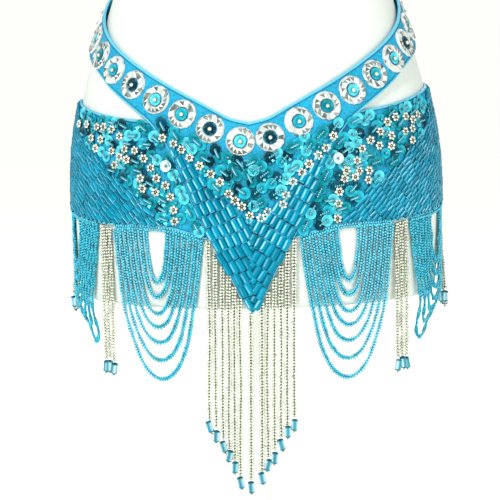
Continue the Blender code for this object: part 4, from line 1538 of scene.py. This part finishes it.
def make_stand():
    """The pole and the round base."""
    foot = BASE_THICKNESS + 0.0003
    top = HIP_LINE + FORM_FOOT * MM - 0.0003
    turned_piece("stand_pole", ((0.0, foot), (POLE_RADIUS, foot), (POLE_RADIUS, top), (0.0, top)),
                 stand_paint_finish(), "pole")
    rim = [(BASE_RADIUS - 0.003 * (1 - math.cos(turn)), BASE_THICKNESS - 0.003 * (1 - math.sin(turn)))
           for turn in (0.0, 0.4, 0.8, 1.2, math.pi / 2)]
    turned_piece("stand_base", ((0.0, 0.0), (BASE_RADIUS - 0.001, 0.0), (BASE_RADIUS, 0.001), *rim,
                                (0.0, BASE_THICKNESS)), stand_paint_finish(), "base")


# ---- operators ----


class HIPBELT_OT_satin(bpy.types.Operator):
    """Cut the yoke, the hip panels, the back panels and the strap backs from satin"""

    bl_idname = "hipbelt.satin"
    bl_label = "Cut the Satin"

    def execute(self, context):
        yoke = (yoke_low, strap_top)
        panel = (panel_hem, panel_top)
        yoke_layers = (YOKE_INNER, YOKE_OUTER)
        panel_layers = (PANEL_INNER, PANEL_OUTER)
        seam = float(SEAM_GAP / metres_per_degree(STRAP_SEAM, 200.0))
        back = CENTRE_BACK - 0.5 * float(SEAM_GAP / metres_per_degree(CENTRE_BACK, 200.0))
        cut_piece("yoke_centre", -YOKE_SEAM, YOKE_SEAM, 112, 14, yoke, yoke_layers, ["yoke"])
        for side, sign in SIDES:
            cut_piece(f"yoke_strap_{side}", sign * YOKE_SEAM, sign * STRAP_SEAM, 90, 8, yoke,
                      yoke_layers, ["yoke"])
            cut_piece(f"hip_satin_{side}", sign * PANEL_INNER_END, sign * PANEL_SEAM, 110, 10,
                      panel, panel_layers, [f"hip_panel_{side}"])
            cut_piece(f"back_satin_{side}", sign * (PANEL_SEAM + seam), sign * back, 80, 8, panel,
                      panel_layers, [f"back_panel_{side}"])
            cut_piece(f"strap_back_satin_{side}", sign * (STRAP_SEAM + seam), sign * back, 84, 6,
                      yoke, yoke_layers, [f"strap_back_{side}"])
        return {"FINISHED"}


class HIPBELT_OT_stitching(bpy.types.Operator):
    """Topstitch the edges of the straps, the yoke and the panels"""

    bl_idname = "hipbelt.stitching"
    bl_label = "Stitch the Edges"

    def execute(self, context):
        rng = random.Random(7)
        back = CENTRE_BACK - 1.0
        lines = (
            (strap_top, -2.6, -back, back, YOKE_OUTER),
            (yoke_low, 2.6, -back, back, YOKE_OUTER),
            (panel_top, -2.6, -back, -31.0, PANEL_OUTER),
            (panel_top, -2.6, 31.0, back, PANEL_OUTER),
            (panel_hem, 2.6, -back, -PANEL_SEAM, PANEL_OUTER),
            (panel_hem, 2.6, PANEL_SEAM, back, PANEL_OUTER),
        )
        places, tints = [], []
        for edge, inset, start, end, out in lines:
            row = stitched_line(edge, inset, start, end, out - 0.0001, rng)
            places += row[0]
            tints += row[1]
        mesh = joined_copies("topstitching", [(stitch_shape(), places, tints)])
        finished("topstitching", mesh, thread_finish())
        return {"FINISHED"}


class HIPBELT_OT_rings(bpy.types.Operator):
    """Lay the faceted rings along the strap, each with a sequin and a silver bead"""

    bl_idname = "hipbelt.rings"
    bl_label = "Lay the Rings"

    def execute(self, context):
        make_rings()
        make_ring_centres()
        return {"FINISHED"}


class HIPBELT_OT_rosettes(bpy.types.Operator):
    """Sew on the silver rosettes"""

    bl_idname = "hipbelt.rosettes"
    bl_label = "Sew the Rosettes"

    def execute(self, context):
        make_rosettes()
        return {"FINISHED"}


class HIPBELT_OT_sequins(bpy.types.Operator):
    """Sew on the cup sequins in pairs, with their bridging beads"""

    bl_idname = "hipbelt.sequins"
    bl_label = "Sew the Sequins"

    def execute(self, context):
        make_sequins()
        return {"FINISHED"}


class HIPBELT_OT_bugles(bpy.types.Operator):
    """Sew on the rows of bugle beads"""

    bl_idname = "hipbelt.bugles"
    bl_label = "Sew the Bugle Beads"

    def execute(self, context):
        make_bugles()
        return {"FINISHED"}


class HIPBELT_OT_swags(bpy.types.Operator):
    """Hang the bead swags from the hem"""

    bl_idname = "hipbelt.swags"
    bl_label = "Hang the Swags"

    def execute(self, context):
        make_swags()
        return {"FINISHED"}


class HIPBELT_OT_strands(bpy.types.Operator):
    """Hang the silver strands with their tube beads"""

    bl_idname = "hipbelt.strands"
    bl_label = "Hang the Strands"

    def execute(self, context):
        make_strands()
        return {"FINISHED"}


class HIPBELT_OT_form(bpy.types.Operator):
    """Make the form, its pole and its base, and finish the hooks"""

    bl_idname = "hipbelt.form"
    bl_label = "Make the Form"

    def execute(self, context):
        make_form()
        make_stand()
        for name in ("hook_strap", "hook_panel_upper", "hook_panel_lower"):
            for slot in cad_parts[name].material_slots:
                slot.material = hook_metal_finish()
        return {"FINISHED"}


CAMERA_TARGET = (-0.0066, 0.0, 0.305)
CAMERA_DISTANCE = 1.40
CAMERA_AZIMUTH = 2.5
CAMERA_PITCH = 7.0
CAMERA_ROLL = 1.2
SENSOR = 36.0
FOCAL_SHARE = 1486.0 / 500.0


class HIPBELT_OT_stage(bpy.types.Operator):
    """Set the floor, the soft lights and the camera"""

    bl_idname = "hipbelt.stage"
    bl_label = "Set the Stage"

    def execute(self, context):
        floor = bmesh.new()
        bmesh.ops.create_grid(floor, x_segments=2, y_segments=2, size=6.0)
        mesh = bpy.data.meshes.new("floor")
        floor.to_mesh(mesh)
        floor.free()
        mesh.materials.append(floor_finish())
        ground = bpy.data.objects.new("floor", mesh)
        context.scene.collection.objects.link(ground)
        world = bpy.data.worlds.new("studio")
        context.scene.world = world
        world.use_nodes = True
        background = world.node_tree.nodes["Background"]
        background.inputs["Color"].default_value = (0.99, 1.0, 0.965, 1.0)
        seen = world.node_tree.nodes.new("ShaderNodeLightPath").outputs["Is Camera Ray"]
        strength = maths(world.node_tree, "ADD", maths(world.node_tree, "MULTIPLY", seen, 0.55),
                         0.45)
        world.node_tree.links.new(strength, background.inputs["Strength"])
        aim = Vector((0.0, 0.0, 0.36))
        for name, place, size, power in (("key", (-0.7, -1.7, 1.6), 0.4, 30.0),
                                         ("fill", (1.5, -1.2, 0.9), 0.9, 8.0),
                                         ("back", (0.4, 1.8, 1.6), 1.2, 14.0)):
            light = bpy.data.lights.new(name, "AREA")
            light.size = size
            light.energy = power
            lamp = bpy.data.objects.new(name, light)
            lamp.location = place
            lamp.rotation_euler = (aim - Vector(place)).to_track_quat("-Z", "Y").to_euler()
            context.scene.collection.objects.link(lamp)
        self.add_camera(context)
        context.scene.view_settings.view_transform = "Standard"
        return {"FINISHED"}

    def add_camera(self, context):
        azimuth, pitch = math.radians(CAMERA_AZIMUTH), math.radians(CAMERA_PITCH)
        back = Vector((math.sin(azimuth) * math.cos(pitch), -math.cos(azimuth) * math.cos(pitch),
                       math.sin(pitch)))
        right = (-back).cross(Vector((0, 0, 1))).normalized()
        up = right.cross(-back)
        cosine, sine = math.cos(-math.radians(CAMERA_ROLL)), math.sin(-math.radians(CAMERA_ROLL))
        across = right * cosine + up * sine
        upward = up * cosine - right * sine
        place = Matrix((across, upward, back)).transposed().to_4x4()
        place.translation = Vector(CAMERA_TARGET) + back * CAMERA_DISTANCE
        data = bpy.data.cameras.new("camera")
        data.sensor_width = SENSOR
        data.lens = SENSOR * FOCAL_SHARE
        camera = bpy.data.objects.new("camera", data)
        camera.matrix_world = place
        context.scene.collection.objects.link(camera)
        context.scene.camera = camera


class HIPBELT_PT_panel(bpy.types.Panel):
    """Sizes, colours and steps of the belt"""

    bl_idname = "HIPBELT_PT_panel"
    bl_label = "Hip Belt"
    bl_space_type = "VIEW_3D"
    bl_region_type = "UI"
    bl_category = "Hip Belt"

    def draw(self, context):
        for group in (context.scene.belt_sizes, context.scene.belt_colours):
            box = self.layout.box()
            for name in group.__annotations__:
                box.prop(group, name)
        for step in STEPS:
            self.layout.operator(step.bl_idname)


STEPS = (HIPBELT_OT_form, HIPBELT_OT_satin, HIPBELT_OT_stitching, HIPBELT_OT_rings,
         HIPBELT_OT_rosettes, HIPBELT_OT_sequins, HIPBELT_OT_bugles, HIPBELT_OT_swags,
         HIPBELT_OT_strands, HIPBELT_OT_stage)
CLASSES = (HipBeltSizes, HipBeltColours, *STEPS, HIPBELT_PT_panel)


def register():
    for item in CLASSES:
        bpy.utils.register_class(item)
    bpy.types.Scene.belt_sizes = PointerProperty(type=HipBeltSizes)
    bpy.types.Scene.belt_colours = PointerProperty(type=HipBeltColours)


def unregister():
    del bpy.types.Scene.belt_colours
    del bpy.types.Scene.belt_sizes
    for item in reversed(CLASSES):
        bpy.utils.unregister_class(item)


def main():
    register()
    for step in STEPS:
        group, name = step.bl_idname.split(".")
        getattr(getattr(bpy.ops, group), name)()


if __name__ == "__main__":
    main()
